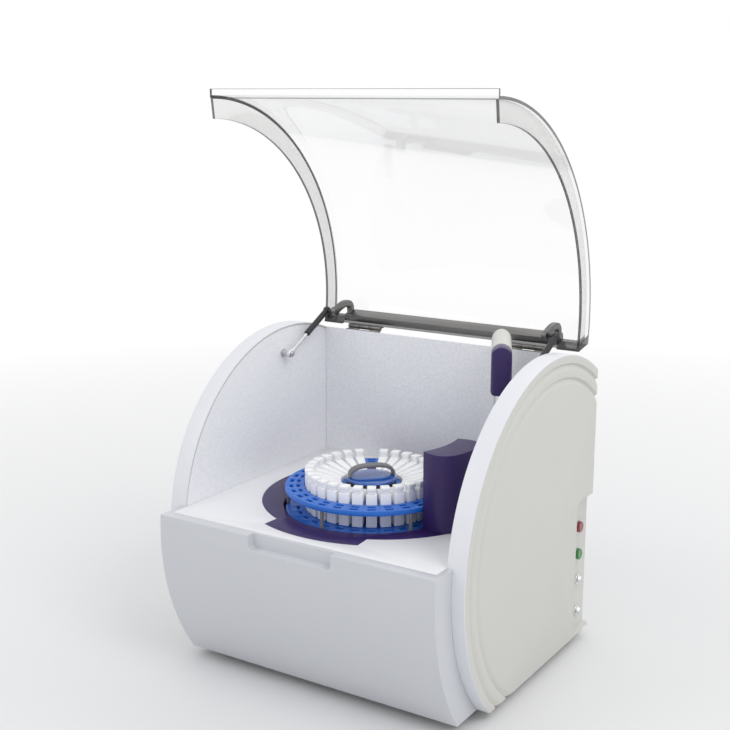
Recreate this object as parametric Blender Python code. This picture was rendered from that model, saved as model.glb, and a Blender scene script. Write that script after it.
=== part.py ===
"""Benchtop chemistry analyzer: a tiltable clear lid over a reagent carousel, photometer and probe.

X runs to the right, Y to the back, Z up from the bench. Sizes are in metres.
Places are written from the middle of the round sides, at the height of the housing's underside.
"""
import math

import bmesh
import bpy
from mathutils import Matrix, Vector

for old in list(bpy.data.objects):
    bpy.data.objects.remove(old, do_unlink=True)

# Fits shared by the whole instrument
FIT_GAP = 0.0003
RUN_GAP = 0.0006
OVERRUN = 0.010
WALL = 0.003
LARGE_ROUND_STEPS = 48
MIDDLE_ROUND_STEPS = 28
ROUND_STEPS = 18
SMALL_ROUND_STEPS = 12

# Round side covers
SIDE_RADIUS = 0.263
SIDE_CENTRE_Z = 0.1856
SIDE_FACE_X = 0.2415
CHAMBER_X = 0.2137
SIDE_SKIN = 0.0050
RIM_SOFT_EDGE = 0.0016
CREASE_DEPTH = 0.0026
CREASE_WIDTH = 0.0012
CREASE_RAMP = 0.0100
CREASE_INSETS = (0.0120, 0.0320)
REAR_Y = 0.143
FOOT_HEIGHT = 0.014
SIDE_STEPS = 56

# Front cover, deck and chamber wall
COVER_X = 0.2225
FRONT_RADIUS = 0.3283
FRONT_BULGE = 0.0419
FRONT_REACH = SIDE_RADIUS + FRONT_BULGE
FRONT_CENTRE_Y = FRONT_RADIUS - FRONT_REACH
FRONT_CENTRE_Z = 0.1941
COVER_EDGE = 0.0018
DECK_Z = 0.2239
DECK_THICKNESS = 0.006
DECK_LEDGE = 0.0189
DECK_FRONT_Y = -FRONT_REACH + DECK_LEDGE
WALL_Y = 0.0965
LAND_REAR_Y = 0.130
LAND_EDGE_Z = SIDE_CENTRE_Z + math.sqrt(SIDE_RADIUS ** 2 - WALL_Y ** 2)
LAND_REAR_Z = SIDE_CENTRE_Z + math.sqrt(SIDE_RADIUS ** 2 - LAND_REAR_Y ** 2)
POCKET_X = 0.067
POCKET_HEIGHT = 0.0205
POCKET_DEPTH = 0.0135
POCKET_CORNER = 0.006

# The hinge axis stands over the flat land behind the chamber wall
HINGE_Y = 0.108
HINGE_RISE = 0.00925
HINGE_Z = LAND_EDGE_Z + (LAND_REAR_Z - LAND_EDGE_Z) * (HINGE_Y - WALL_Y) / (LAND_REAR_Y - WALL_Y) + HINGE_RISE

# Lid: a clear curved sheet with side flanges, whose foot line passes just outside the hinge axis
LID_X = 0.2247
LID_SHEET = 0.0045
LID_RADIUS = 0.3133
LID_FLANGE = 0.0325
FLANGE_RADIUS = LID_RADIUS - LID_FLANGE
LID_AXIS_INSET = 0.000385
LID_AXIS_ANGLE = math.radians(-10.853)
LID_CENTRE_Y = HINGE_Y - (FLANGE_RADIUS - LID_AXIS_INSET) * math.cos(LID_AXIS_ANGLE)
LID_CENTRE_Z = HINGE_Z - (FLANGE_RADIUS - LID_AXIS_INSET) * math.sin(LID_AXIS_ANGLE)
LID_END_LIFT = 0.00124
LID_END_RAKE = 0.01203
LID_FLANGE_ANGLE = LID_AXIS_ANGLE + LID_END_LIFT / FLANGE_RADIUS
LID_HINGE_ANGLE = LID_FLANGE_ANGLE + LID_END_RAKE / LID_RADIUS
LID_FRONT_RAKE = 0.0038
LID_LIP = 0.0088

# Where the whole instrument stands: its box is centred on the origin
REAR_REACH = LID_RADIUS + LID_CENTRE_Y
ORIGIN_Y = (FRONT_REACH - REAR_REACH) / 2

# Hinges, bar and goosenecks
KNUCKLE_RADIUS = 0.0040
PIN_RADIUS = 0.0016
LEAF_THICKNESS = 0.0016
LEAF_DEPTH = 0.026
LEAF_START_X = 0.115
LEAF_WIDTH = 0.060
BAR_X = 0.1795
BAR_DEPTH = 0.0245
BAR_HEIGHT = 0.0105
BAR_FRONT = 0.0055
NECK_WIDTH = 0.008
NECK_THICKNESS = 0.010
NECK_EYE_RADIUS = 0.0070
NECK_END = (-0.028, 0.0267)
NECK_TOP = (0.012, 0.0335)

# Gas struts
STRUT_X = 0.200
STUD_Y = -0.022
STUD_DROP = 0.0410
STUD_Z = SIDE_CENTRE_Z + SIDE_RADIUS - STUD_DROP
EYE_RADIUS = 0.0066
EYE_HALF_WIDTH = 0.004
STUD_RADIUS = 0.0030
STUD_HEAD_RADIUS = 0.0044
STUD_HEAD = 0.0022
ROD_RADIUS = 0.0026
ROD_LENGTH = 0.085
TUBE_RADIUS = 0.00475
TUBE_BORE = 0.0031
TUBE_START = 0.0515
TUBE_END_WALL = 0.008

# Carousel
DISC_RADIUS = 0.1246
DISC_THICKNESS = 0.0068
UPPER_DISC_Z = 0.2465
LOWER_DISC_Z = 0.2130
PLACES = 30
FACING_ANGLE = math.radians(-57.5)
BOTTLE_INNER = 0.0440
BOTTLE_RIM_GAP = 0.0286
BOTTLE_OUTER = DISC_RADIUS - BOTTLE_RIM_GAP
BOTTLE_HALF_ANGLE = math.radians(4.6)
BOTTLE_SHOULDER_Z = 0.2676
BOTTLE_HEEL_Z = 0.2590
NECK_BLOCK_DEPTH = 0.0120
NECK_BLOCK_INNER = BOTTLE_OUTER - NECK_BLOCK_DEPTH
NECK_BLOCK_HALF = 0.0058
NECK_BLOCK_Z = 0.2765
CAP_HALF = 0.0062
CAP_HEIGHT = 0.0060
SLOT_HALF_ANGLE = math.radians(5.15)
SLOT_GAP = 0.0009
PERF_ROWS = ((0.0211, 0.0050), (0.0116, 0.0055))
PERF_HALF_ANGLE = math.radians(2.9)
HUB_RADIUS = 0.0360
HUB_TOP_Z = 0.2600
HUB_CAP_CROWN = 0.0035
HUB_STEP = 0.003
HUB_SPIGOT = 0.015
HUB_SPIGOT_Z = 0.2090
PILLAR_COUNT = 6
PILLAR_RADIUS = 0.0026
PILLAR_INSET = 0.0033
PILLAR_ANGLE = math.radians(-91.5)
HANDLE_HALF_SPAN = 0.0345
HANDLE_RISE = 0.0180
HANDLE_WIDTH = 0.0130
HANDLE_THICKNESS = 0.0045
HANDLE_ANGLE = math.radians(46)
HANDLE_ROUND_SHARE = 2.6

# Well round the carousel: its plate keeps its place behind the deck's front edge
WELL_RUN = 0.0026
WELL_BORE = DISC_RADIUS + WELL_RUN
WELL_MARGIN = 0.0491
WELL_RADIUS = WELL_BORE + WELL_MARGIN
WELL_PLATE = 0.0022
WELL_STEP = 0.0028
LOBE_STEP = 0.0240
LOBE_RADIUS = WELL_RADIUS + LOBE_STEP
LOBE_FRONT_GAP = 0.0167
WELL_CENTRE_Y = DECK_FRONT_Y + LOBE_FRONT_GAP + LOBE_RADIUS
CAROUSEL_OFFSET = 0.0305
CAROUSEL_Y = WELL_CENTRE_Y - CAROUSEL_OFFSET
LOBE_HALF_ANGLE = math.radians(22.5)
LOBE_RAMP_ANGLE = math.radians(2.6)
WELL_FLOOR_Z = 0.2060
SHAFT_RADIUS = 0.0080
SHAFT_BOTTOM_Z = 0.1600

# Drive under the well
GEAR_MODULE = 0.0020
GEAR_TEETH = 36
PINION_TEETH = 12
GEAR_FACE = 0.010
GEAR_Z = 0.1760
PRESSURE_ANGLE = math.radians(20)
BACKLASH_SHARE = 0.09
BEARING_OUTER = 0.0160
BEARING_HEIGHT = 0.010
BEARING_FLANGE = 0.0250
DRIVE_PLATE = 0.004
DRIVE_PLATE_Z = 0.1660
DRIVE_PLATE_X = 0.054
DRIVE_PLATE_YS = (-0.042, 0.074)
MOTOR_HALF = 0.021
MOTOR_HEIGHT = 0.038
MOTOR_SHAFT_RADIUS = 0.0025

# Photometer
BLOCK_INNER_GAP = 0.0032
BLOCK_DEPTH = 0.0415
BLOCK_START = math.radians(-24.5)
BLOCK_END = math.radians(12.5)
BLOCK_TOP_Z = 0.3330
BLOCK_ROUND_SHARE = 3.4
BLOCK_WALL = 0.0026
BLOCK_EDGE = 0.0030
MODULE_SIZE = (0.022, 0.036, 0.072)

# Probe
POST_X = 0.1215
POST_Y = 0.064
POST_RADIUS = 0.0095
PROBE_TRAVEL = 0.050
ARM_DIRECTION = math.radians(-63.3)
ARM_REACH = 0.125
ARM_WIDTH = 0.029
ARM_BOTTOM_Z = 0.3955
ARM_HEIGHT = 0.0680
ARM_SPLIT = 0.030
ARM_EDGE = 0.005
NEEDLE_INSET = 0.013
NEEDLE_REACH = ARM_REACH - NEEDLE_INSET
NEEDLE_RADIUS = 0.0012
NEEDLE_LENGTH = 0.056
COLLAR_RADIUS = 0.0170
COLLAR_HEIGHT = 0.010
GUIDE_RADIUS = 0.0040
GUIDE_OFFSET = 0.026
CARRIAGE_Z = 0.120
CARRIAGE_HEIGHT = 0.030
CARRIAGE_WALL = 0.006
POST_COLLAR = 0.003
SWING_MOTOR_HALF = 0.014
SWING_MOTOR_HEIGHT = 0.034

# Recess in the right side, with its buttons and fluid fittings
RECESS_FRONT_Y = 0.0860
RECESS_BOTTOM_Z = 0.0060
RECESS_TOP_Z = 0.2140
RECESS_FLOOR_X = 0.2325
RECESS_CORNER = 0.012
BUTTON_Y = 0.109
BUTTON_ZS = (0.1695, 0.1265)
BUTTON_RADIUS = 0.0085
BUTTON_HEIGHT = 0.0045
BUTTON_STEM = 0.0030
BUTTON_STROKE = 0.0020
BEZEL_RADIUS = 0.0105
BEZEL_HEIGHT = 0.0012
FITTING_Y = 0.1135
FITTING_ZS = (0.0840, 0.0335)
FITTING_RADIUS = 0.0080
FITTING_BORE = 0.0025
FITTING_LENGTH = 0.0085

# Feet
FOOT_X = 0.180
FOOT_FRONT_INSET = 0.039
FOOT_REAR_INSET = 0.033
FOOT_TOP_RADIUS = 0.0205
FOOT_BOTTOM_RADIUS = 0.0165

# Rear panel
FAN_X = -0.110
FAN_Z = 0.290
FAN_SIZE = 0.080
FAN_DEPTH = 0.020
FAN_BORE = 0.0375
FAN_HUB = 0.0150
FAN_BLADES = 7
VENT_COUNT = 8
VENT_LENGTH = 0.070
VENT_WIDTH = 0.0040
VENT_PITCH = 0.0100
VENT_X = 0.100
VENT_Z = 0.250
GUARD_ROWS = ((0.0125, 0.0065), (0.0215, 0.0065), (0.0305, 0.0065))
GUARD_GAP_SHARE = 0.86
INLET_X = 0.130
INLET_Z = 0.060
INLET_WIDTH = 0.028
INLET_HEIGHT = 0.048
TAB_ZS = (0.190,)
TAB_DEPTH = 0.016
TAB_HEIGHT = 0.016
SCREW_RADIUS = 0.0015
SCREW_HEAD_RADIUS = 0.0029
SCREW_HEAD = 0.0018
SCREW_LENGTH = 0.0085

# Base, boards and supplies
PAN_FLANGE = 0.022
PAN_FRONT_INSET = 0.0044
PAN_FRONT_Y = FRONT_CENTRE_Y - math.sqrt(FRONT_RADIUS ** 2 - FRONT_CENTRE_Z ** 2) + PAN_FRONT_INSET
PAN_EAR_STEP = 0.0037
PAN_EAR_Y = -math.sqrt(SIDE_RADIUS ** 2 - SIDE_CENTRE_Z ** 2) - PAN_EAR_STEP
FOOT_YS = (PAN_FRONT_Y + FOOT_FRONT_INSET, REAR_Y - FOOT_REAR_INSET)
POST_SIZE = 0.012
DECK_POST_X = 0.195
DECK_POST_FRONT_INSET = 0.015
DECK_POST_WALL_GAP = 0.0365
DECK_POST_YS = (PAN_FRONT_Y + DECK_POST_FRONT_INSET, WALL_Y - DECK_POST_WALL_GAP)
SUPPLY_SIZE = (0.150, 0.085, 0.042)
SUPPLY_PLACE = (-0.105, 0.048)
BOARD_SIZE = (0.150, 0.130)
BOARD_THICKNESS = 0.0016
BOARD_PLACE = (-0.090, -0.120)
BOARD_STANDOFF = 0.010
CHIP_SIZE = (0.028, 0.028, 0.003)


def paint(name, colour, roughness, metallic=0.0, alpha=1.0):
    material = bpy.data.materials.new(name)
    material.use_nodes = True
    shader = material.node_tree.nodes["Principled BSDF"]
    shader.inputs["Base Color"].default_value = (*colour, 1)
    shader.inputs["Roughness"].default_value = roughness
    shader.inputs["Metallic"].default_value = metallic
    shader.inputs["Alpha"].default_value = alpha
    return material


WARM_GREY = paint("warm_grey_plastic", (0.62, 0.62, 0.58), 0.45)
COOL_WHITE = paint("cool_white_plastic", (0.66, 0.69, 0.76), 0.38)
CHAMBER_WHITE = paint("speckled_white", (0.70, 0.72, 0.76), 0.55)
PURPLE = paint("purple_plastic", (0.035, 0.012, 0.11), 0.35)
BLUE = paint("blue_plastic", (0.015, 0.14, 0.55), 0.30)
BOTTLE_WHITE = paint("bottle_white", (0.85, 0.85, 0.85), 0.45)
HANDLE_GREY = paint("handle_grey", (0.22, 0.22, 0.24), 0.45)
BAR_METAL = paint("bar_metal", (0.30, 0.30, 0.31), 0.35, 1.0)
STEEL = paint("steel", (0.55, 0.55, 0.56), 0.25, 1.0)
CHROME = paint("chrome", (0.75, 0.75, 0.77), 0.08, 1.0)
DARK_METAL = paint("dark_tube", (0.05, 0.05, 0.055), 0.35, 0.6)
RUBBER = paint("black_rubber", (0.012, 0.012, 0.012), 0.8)
BLACK = paint("black_plastic", (0.02, 0.02, 0.022), 0.5)
RED = paint("red_button", (0.25, 0.02, 0.03), 0.35)
GREEN = paint("green_button", (0.05, 0.25, 0.05), 0.35)
CLEAR = paint("clear_acrylic", (0.85, 0.87, 0.88), 0.05, 0.0, 0.25)
BOARD_GREEN = paint("board_green", (0.02, 0.16, 0.07), 0.5)
GALVANISED = paint("galvanised_sheet", (0.45, 0.46, 0.47), 0.4, 1.0)
BRASS = paint("brass", (0.55, 0.42, 0.18), 0.3, 1.0)


def empty_at(name, place, parent=None):
    marker = bpy.data.objects.new(name, None)
    bpy.context.scene.collection.objects.link(marker)
    marker.parent = parent
    marker.location = place
    return marker


ORIGIN = empty_at("housing_origin", (0, ORIGIN_Y, FOOT_HEIGHT))


def solid(name, bm, material, parent=ORIGIN, place=(0, 0, 0), smooth=True):
    """Turn a bmesh, drawn from the parent's origin, into an object whose own origin is at place."""
    bmesh.ops.recalc_face_normals(bm, faces=bm.faces)
    mesh = bpy.data.meshes.new(name)
    bm.to_mesh(mesh)
    bm.free()
    mesh.transform(Matrix.Translation(-Vector(place)))
    mesh.materials.append(material)
    piece = bpy.data.objects.new(name, mesh)
    bpy.context.scene.collection.objects.link(piece)
    piece.parent = parent
    piece.location = place
    if smooth:
        mesh.shade_smooth()
        mesh.set_sharp_from_angle(angle=math.radians(28))
    return piece


def guide(name, bm, parent=ORIGIN):
    piece = solid(name, bm, BLACK, parent, smooth=False)
    piece.hide_render = True
    piece.display_type = "WIRE"
    return piece


def combine(piece, other, operation, solver="EXACT"):
    change = piece.modifiers.new(other.name, "BOOLEAN")
    change.operation = operation
    change.solver = solver
    change.object = other
    return piece


def cut(piece, cutter, solver="EXACT"):
    return combine(piece, cutter, "DIFFERENCE", solver)


def join(piece, extra):
    return combine(piece, extra, "UNION")


def place_on(axis, a, b, along):
    if axis == "X":
        return (along, a, b)
    if axis == "Y":
        return (a, along, b)
    return (a, b, along)


def add_prism(bm, outline, low, high, axis):
    """A closed block: the outline is drawn in the two other axes and runs from low to high."""
    near = [bm.verts.new(place_on(axis, a, b, low)) for a, b in outline]
    far = [bm.verts.new(place_on(axis, a, b, high)) for a, b in outline]
    bm.faces.new(near)
    bm.faces.new(far)
    for index in range(len(outline)):
        after = (index + 1) % len(outline)
        bm.faces.new((near[index], near[after], far[after], far[index]))
    return bm


def prism(outline, low, high, axis):
    return add_prism(bmesh.new(), outline, low, high, axis)


def add_box(bm, low, high):
    return add_prism(bm, [(low[0], low[1]), (high[0], low[1]), (high[0], high[1]), (low[0], high[1])],
                     low[2], high[2], "Z")


def box(low, high):
    return add_box(bmesh.new(), low, high)


def block(middle, size):
    return box([m - s / 2 for m, s in zip(middle, size)], [m + s / 2 for m, s in zip(middle, size)])


def arc(centre, radius, start, end, steps):
    return [(centre[0] + radius * math.cos(start + (end - start) * k / steps),
             centre[1] + radius * math.sin(start + (end - start) * k / steps)) for k in range(steps + 1)]


def circle(centre, radius, steps):
    return arc(centre, radius, 0, 2 * math.pi, steps)[:-1]


def rounded(low, high, radius, steps=3):
    corners = ((high[0] - radius, high[1] - radius, 0), (low[0] + radius, high[1] - radius, 1),
               (low[0] + radius, low[1] + radius, 2), (high[0] - radius, low[1] + radius, 3))
    points = []
    for a, b, quarter in corners:
        points += arc((a, b), radius, quarter * math.pi / 2, (quarter + 1) * math.pi / 2, steps)
    return points


def add_turned(bm, profile, centre, axis, steps, ring=False):
    """A round piece from (along, radius) pairs; ring closes the profile on itself."""
    loops = []
    for along, radius in profile:
        if radius == 0:
            loops.append([bm.verts.new(place_on(axis, *centre, along))])
        else:
            loops.append([bm.verts.new(place_on(axis, a, b, along))
                          for a, b in circle(centre, radius, steps)])
    pairs = list(zip(loops, loops[1:] + loops[:1])) if ring else list(zip(loops, loops[1:]))
    for one, two in pairs:
        for index in range(steps):
            after = (index + 1) % steps
            corners = [one[index % len(one)], one[after % len(one)], two[after % len(two)], two[index % len(two)]]
            bm.faces.new(list(dict.fromkeys(corners)))
    if not ring:
        for loop in (loops[0], loops[-1]):
            if len(loop) > 1:
                bm.faces.new(loop)
    return bm


def turned(profile, centre, axis, steps, ring=False):
    return add_turned(bmesh.new(), profile, centre, axis, steps, ring)


def soften(piece, width, segments=2):
    edge = piece.modifiers.new("soft_edge", "BEVEL")
    edge.width = width
    edge.segments = segments
    edge.limit_method = "ANGLE"
    edge.angle_limit = math.radians(40)
    return piece


def mirrored(x, side):
    return x * side


# Outlines that several pieces share
def side_outline(inset):
    """The D of a side, seen along X: a round front and top, cut by the rear and the underside."""
    radius = SIDE_RADIUS - inset
    rear = REAR_Y - inset
    low_angle = math.pi + math.asin((SIDE_CENTRE_Z - inset) / radius)
    high_angle = math.acos(rear / radius)
    points = arc((0, SIDE_CENTRE_Z), radius, high_angle, low_angle, SIDE_STEPS // 2)
    return points + [(rear, inset)]


def side_y(z, gap=0):
    return -math.sqrt((SIDE_RADIUS + gap) ** 2 - (z - SIDE_CENTRE_Z) ** 2)


def land_top(y):
    """Height of the rear body's top, a flat land for the hinges and then the round side's line."""
    return LAND_EDGE_Z + (LAND_REAR_Z - LAND_EDGE_Z) * (y - WALL_Y) / (LAND_REAR_Y - WALL_Y)


def well_outline(grow):
    """Round plate of the well, with the wider lobe that reaches forward."""
    start = -math.pi / 2 - LOBE_HALF_ANGLE
    end = -math.pi / 2 + LOBE_HALF_ANGLE
    points = arc((0, WELL_CENTRE_Y), LOBE_RADIUS + grow, start, end, 10)
    points += arc((0, WELL_CENTRE_Y), WELL_RADIUS + grow, end + LOBE_RAMP_ANGLE,
                  start - LOBE_RAMP_ANGLE + 2 * math.pi, 44)
    return points


def about(angle, radius, centre=(0, 0)):
    return (centre[0] + radius * math.cos(angle), centre[1] + radius * math.sin(angle))


def wedge(angle, half, inner, outer, centre=(0, 0)):
    return [about(angle - half, inner, centre), about(angle - half, outer, centre),
            about(angle + half, outer, centre), about(angle + half, inner, centre)]


# Side covers and inner walls
def side_profile(side):
    points = [(CHAMBER_X, SIDE_RADIUS), (SIDE_FACE_X - RIM_SOFT_EDGE, SIDE_RADIUS),
              (SIDE_FACE_X, SIDE_RADIUS - RIM_SOFT_EDGE)]
    for inset in CREASE_INSETS:
        points += [(SIDE_FACE_X, SIDE_RADIUS - inset),
                   (SIDE_FACE_X - CREASE_DEPTH, SIDE_RADIUS - inset - CREASE_WIDTH),
                   (SIDE_FACE_X, SIDE_RADIUS - inset - CREASE_RAMP)]
    return [(mirrored(x, side), radius) for x, radius in points]


def build_side(name, side):
    cover = solid(name + "_side_cover", turned(side_profile(side), (0, SIDE_CENTRE_Z), "X", SIDE_STEPS), WARM_GREY)
    span = sorted((mirrored(CHAMBER_X - OVERRUN, side), mirrored(SIDE_FACE_X + OVERRUN, side)))
    keep = guide(name + "_side_trim", box((span[0], -SIDE_RADIUS - OVERRUN, 0),
                                          (span[1], REAR_Y, SIDE_CENTRE_Z + SIDE_RADIUS + OVERRUN)))
    combine(cover, keep, "INTERSECT")
    depth = sorted((mirrored(CHAMBER_X - OVERRUN, side), mirrored(SIDE_FACE_X - SIDE_SKIN, side)))
    cut(cover, guide(name + "_side_hollow", prism(side_outline(WALL), *depth, "X")))
    wall_span = sorted((mirrored(CHAMBER_X, side), mirrored(CHAMBER_X + WALL, side)))
    wall = solid(name + "_inner_wall", prism(side_outline(WALL + FIT_GAP), *wall_span, "X"), CHAMBER_WHITE)
    tab_span = sorted((mirrored(CHAMBER_X - TAB_DEPTH, side), mirrored(CHAMBER_X + WALL / 2, side)))
    tabs = bmesh.new()
    for z in TAB_ZS:
        add_box(tabs, (tab_span[0], REAR_Y - 2 * WALL - FIT_GAP, z - TAB_HEIGHT / 2),
                (tab_span[1], REAR_Y - WALL - FIT_GAP, z + TAB_HEIGHT / 2))
    join(wall, guide(name + "_wall_tabs", tabs))
    return cover, wall


left_cover, left_wall = build_side("left", -1)
right_cover, right_wall = build_side("right", 1)

# The right cover is dished at its rear edge for the buttons and fittings
recess_backing = guide("recess_backing", prism(
    rounded((RECESS_FRONT_Y - WALL, RECESS_BOTTOM_Z - WALL), (REAR_Y - WALL / 2, RECESS_TOP_Z + WALL), RECESS_CORNER),
    RECESS_FLOOR_X - WALL, SIDE_FACE_X - SIDE_SKIN / 2, "X"))
join(right_cover, recess_backing)
cut(right_cover, guide("recess_cut", prism(
    rounded((RECESS_FRONT_Y, RECESS_BOTTOM_Z), (REAR_Y + 2 * RECESS_CORNER, RECESS_TOP_Z), RECESS_CORNER, 4),
    RECESS_FLOOR_X, SIDE_FACE_X + OVERRUN, "X")))
recess_holes = bmesh.new()
for z in BUTTON_ZS:
    add_turned(recess_holes, [(RECESS_FLOOR_X - OVERRUN, BUTTON_STEM + RUN_GAP),
                              (RECESS_FLOOR_X + OVERRUN, BUTTON_STEM + RUN_GAP)], (BUTTON_Y, z), "X",
               SMALL_ROUND_STEPS)
for z in FITTING_ZS:
    add_turned(recess_holes, [(RECESS_FLOOR_X - OVERRUN, FITTING_RADIUS / 2 + FIT_GAP),
                              (RECESS_FLOOR_X + OVERRUN, FITTING_RADIUS / 2 + FIT_GAP)], (FITTING_Y, z), "X",
               SMALL_ROUND_STEPS)
cut(right_cover, guide("recess_holes", recess_holes))


# Front cover
def front_section(inset, top, rear_gap, low):
    """Section of the front cover: the bulging front, the ledge, and the line of the side's rim."""
    radius = FRONT_RADIUS - inset
    low_angle = math.pi + math.asin((FRONT_CENTRE_Z - low) / radius)
    high_angle = math.pi - math.asin((top - FRONT_CENTRE_Z) / radius)
    centre = (FRONT_CENTRE_Y, FRONT_CENTRE_Z)
    points = arc(centre, radius, low_angle, math.pi, 9)[:-1] + arc(centre, radius, math.pi, high_angle, 3)
    rim_low = math.pi + math.asin(SIDE_CENTRE_Z / (SIDE_RADIUS + rear_gap))
    rim_high = math.pi - math.asin((DECK_Z - SIDE_CENTRE_Z) / (SIDE_RADIUS + rear_gap))
    return points, arc((0, SIDE_CENTRE_Z), SIDE_RADIUS + rear_gap, rim_high, rim_low, 10)


front_line, rim_line = front_section(0, DECK_Z, FIT_GAP, 0)
front_mesh = prism(front_line + rim_line, -COVER_X, COVER_X, "X")
front_edges = [edge for edge in front_mesh.edges
               if all(vert.co.y < side_y(vert.co.z) - COVER_EDGE for vert in edge.verts)
               and (len({round(abs(v.co.x), 6) for v in edge.verts}) == 1)
               and (edge.verts[0].co.x * edge.verts[1].co.x > 0
                    or all(abs(v.co.z - DECK_Z) < COVER_EDGE for v in edge.verts))]
bmesh.ops.bevel(front_mesh, geom=front_edges, offset=COVER_EDGE, segments=2, profile=0.5, affect="EDGES")
front_cover = solid("front_cover", front_mesh, COOL_WHITE)
hollow_line, _ = front_section(WALL, DECK_Z - WALL, 0, 0)
hollow = [(hollow_line[0][0], -OVERRUN)] + hollow_line + [(PAN_EAR_Y / 2, DECK_Z - WALL), (PAN_EAR_Y / 2, -OVERRUN)]
cut(front_cover, guide("front_hollow", prism(hollow, -COVER_X + WALL, COVER_X - WALL, "X")), "MANIFOLD")
join(front_cover, guide("pocket_backing", box(
    (-POCKET_X - WALL, -FRONT_REACH + WALL / 2, DECK_Z - POCKET_HEIGHT - WALL),
    (POCKET_X + WALL, -FRONT_REACH + POCKET_DEPTH + WALL, DECK_Z - WALL / 2))))
cut(front_cover, guide("pocket_cut", prism(
    rounded((-POCKET_X, DECK_Z - POCKET_HEIGHT), (POCKET_X, DECK_Z + 2 * POCKET_CORNER), POCKET_CORNER),
    -FRONT_REACH - OVERRUN, -FRONT_REACH + POCKET_DEPTH, "Y")))
cut(front_cover, guide("deck_place", box((-CHAMBER_X, DECK_FRONT_Y - FIT_GAP, DECK_Z - WALL - OVERRUN),
                                         (CHAMBER_X, 0, DECK_Z + OVERRUN))))

# Deck, chamber wall and rear cover
DECK_EDGE_X = CHAMBER_X - FIT_GAP
deck = solid("deck_plate", box((-DECK_EDGE_X, DECK_FRONT_Y, DECK_Z - DECK_THICKNESS),
                               (DECK_EDGE_X, WALL_Y - FIT_GAP, DECK_Z)), CHAMBER_WHITE)
cut(deck, guide("deck_step", prism(well_outline(FIT_GAP), DECK_Z - WELL_STEP, DECK_Z + OVERRUN, "Z")))
cut(deck, guide("deck_bore", prism(circle((0, CAROUSEL_Y), WELL_BORE + WALL + FIT_GAP, LARGE_ROUND_STEPS),
                                   DECK_Z - DECK_THICKNESS - OVERRUN, DECK_Z + OVERRUN, "Z")))
cut(deck, guide("post_bore", prism(circle((POST_X, POST_Y), POST_RADIUS + RUN_GAP, ROUND_STEPS),
                                   DECK_Z - DECK_THICKNESS - OVERRUN, DECK_Z + OVERRUN, "Z")))

LAND_SLOPE = math.atan2(land_top(LAND_REAR_Y) - land_top(WALL_Y), LAND_REAR_Y - WALL_Y)
rear_top = SIDE_CENTRE_Z + math.sqrt(SIDE_RADIUS ** 2 - REAR_Y ** 2)
wall_outline = [(WALL_Y, WALL + FIT_GAP), (WALL_Y, land_top(WALL_Y)), (LAND_REAR_Y, land_top(LAND_REAR_Y)),
                (REAR_Y, rear_top), (REAR_Y, rear_top - WALL), (LAND_REAR_Y, land_top(LAND_REAR_Y) - WALL),
                (WALL_Y + WALL, land_top(WALL_Y) - 2 * WALL), (WALL_Y + WALL, WALL + FIT_GAP)]
chamber_wall = solid("chamber_wall", prism(wall_outline, -DECK_EDGE_X, DECK_EDGE_X, "X"), CHAMBER_WHITE)

rear_cover = solid("rear_cover", box((-DECK_EDGE_X, REAR_Y - WALL, WALL + FIT_GAP),
                                     (DECK_EDGE_X, REAR_Y, rear_top - WALL - FIT_GAP)), WARM_GREY)
rear_cuts = bmesh.new()
for index in range(VENT_COUNT):
    z = VENT_Z + (index - (VENT_COUNT - 1) / 2) * VENT_PITCH
    add_prism(rear_cuts, rounded((VENT_X - VENT_LENGTH / 2, z - VENT_WIDTH / 2),
                                 (VENT_X + VENT_LENGTH / 2, z + VENT_WIDTH / 2), VENT_WIDTH / 2 - FIT_GAP / 2, 2),
              REAR_Y - WALL - OVERRUN, REAR_Y + OVERRUN, "Y")
for inner, depth in GUARD_ROWS:
    for quarter in range(4):
        middle = math.pi / 4 + quarter * math.pi / 2
        half = math.pi / 4 - (1 - GUARD_GAP_SHARE) * FAN_HUB / inner / 2
        line = arc((FAN_X, FAN_Z), inner + depth, middle - half, middle + half, 3)
        line += arc((FAN_X, FAN_Z), inner, middle + half, middle - half, 3)
        add_prism(rear_cuts, line, REAR_Y - WALL - OVERRUN, REAR_Y + OVERRUN, "Y")
add_prism(rear_cuts, rounded((INLET_X - INLET_WIDTH / 2 - FIT_GAP, INLET_Z - INLET_HEIGHT / 2 - FIT_GAP),
                             (INLET_X + INLET_WIDTH / 2 + FIT_GAP, INLET_Z + INLET_HEIGHT / 2 + FIT_GAP), WALL / 3),
          REAR_Y - WALL - OVERRUN, REAR_Y + OVERRUN, "Y")
screw_places = [(mirrored(CHAMBER_X - TAB_DEPTH / 2, side), z) for side in (-1, 1) for z in TAB_ZS]
for place in screw_places:
    add_prism(rear_cuts, circle(place, SCREW_RADIUS + FIT_GAP, SMALL_ROUND_STEPS),
              REAR_Y - 2 * WALL - OVERRUN, REAR_Y + OVERRUN, "Y")
rear_cutter = guide("rear_cuts", rear_cuts)
cut(rear_cover, rear_cutter)
tab_cutter = bmesh.new()
for place in screw_places:
    add_prism(tab_cutter, circle(place, SCREW_RADIUS + FIT_GAP, SMALL_ROUND_STEPS),
              REAR_Y - 2 * WALL - OVERRUN, REAR_Y - WALL / 2, "Y")
tab_holes = guide("tab_holes", tab_cutter)
cut(left_wall, tab_holes)
cut(right_wall, tab_holes)
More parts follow.
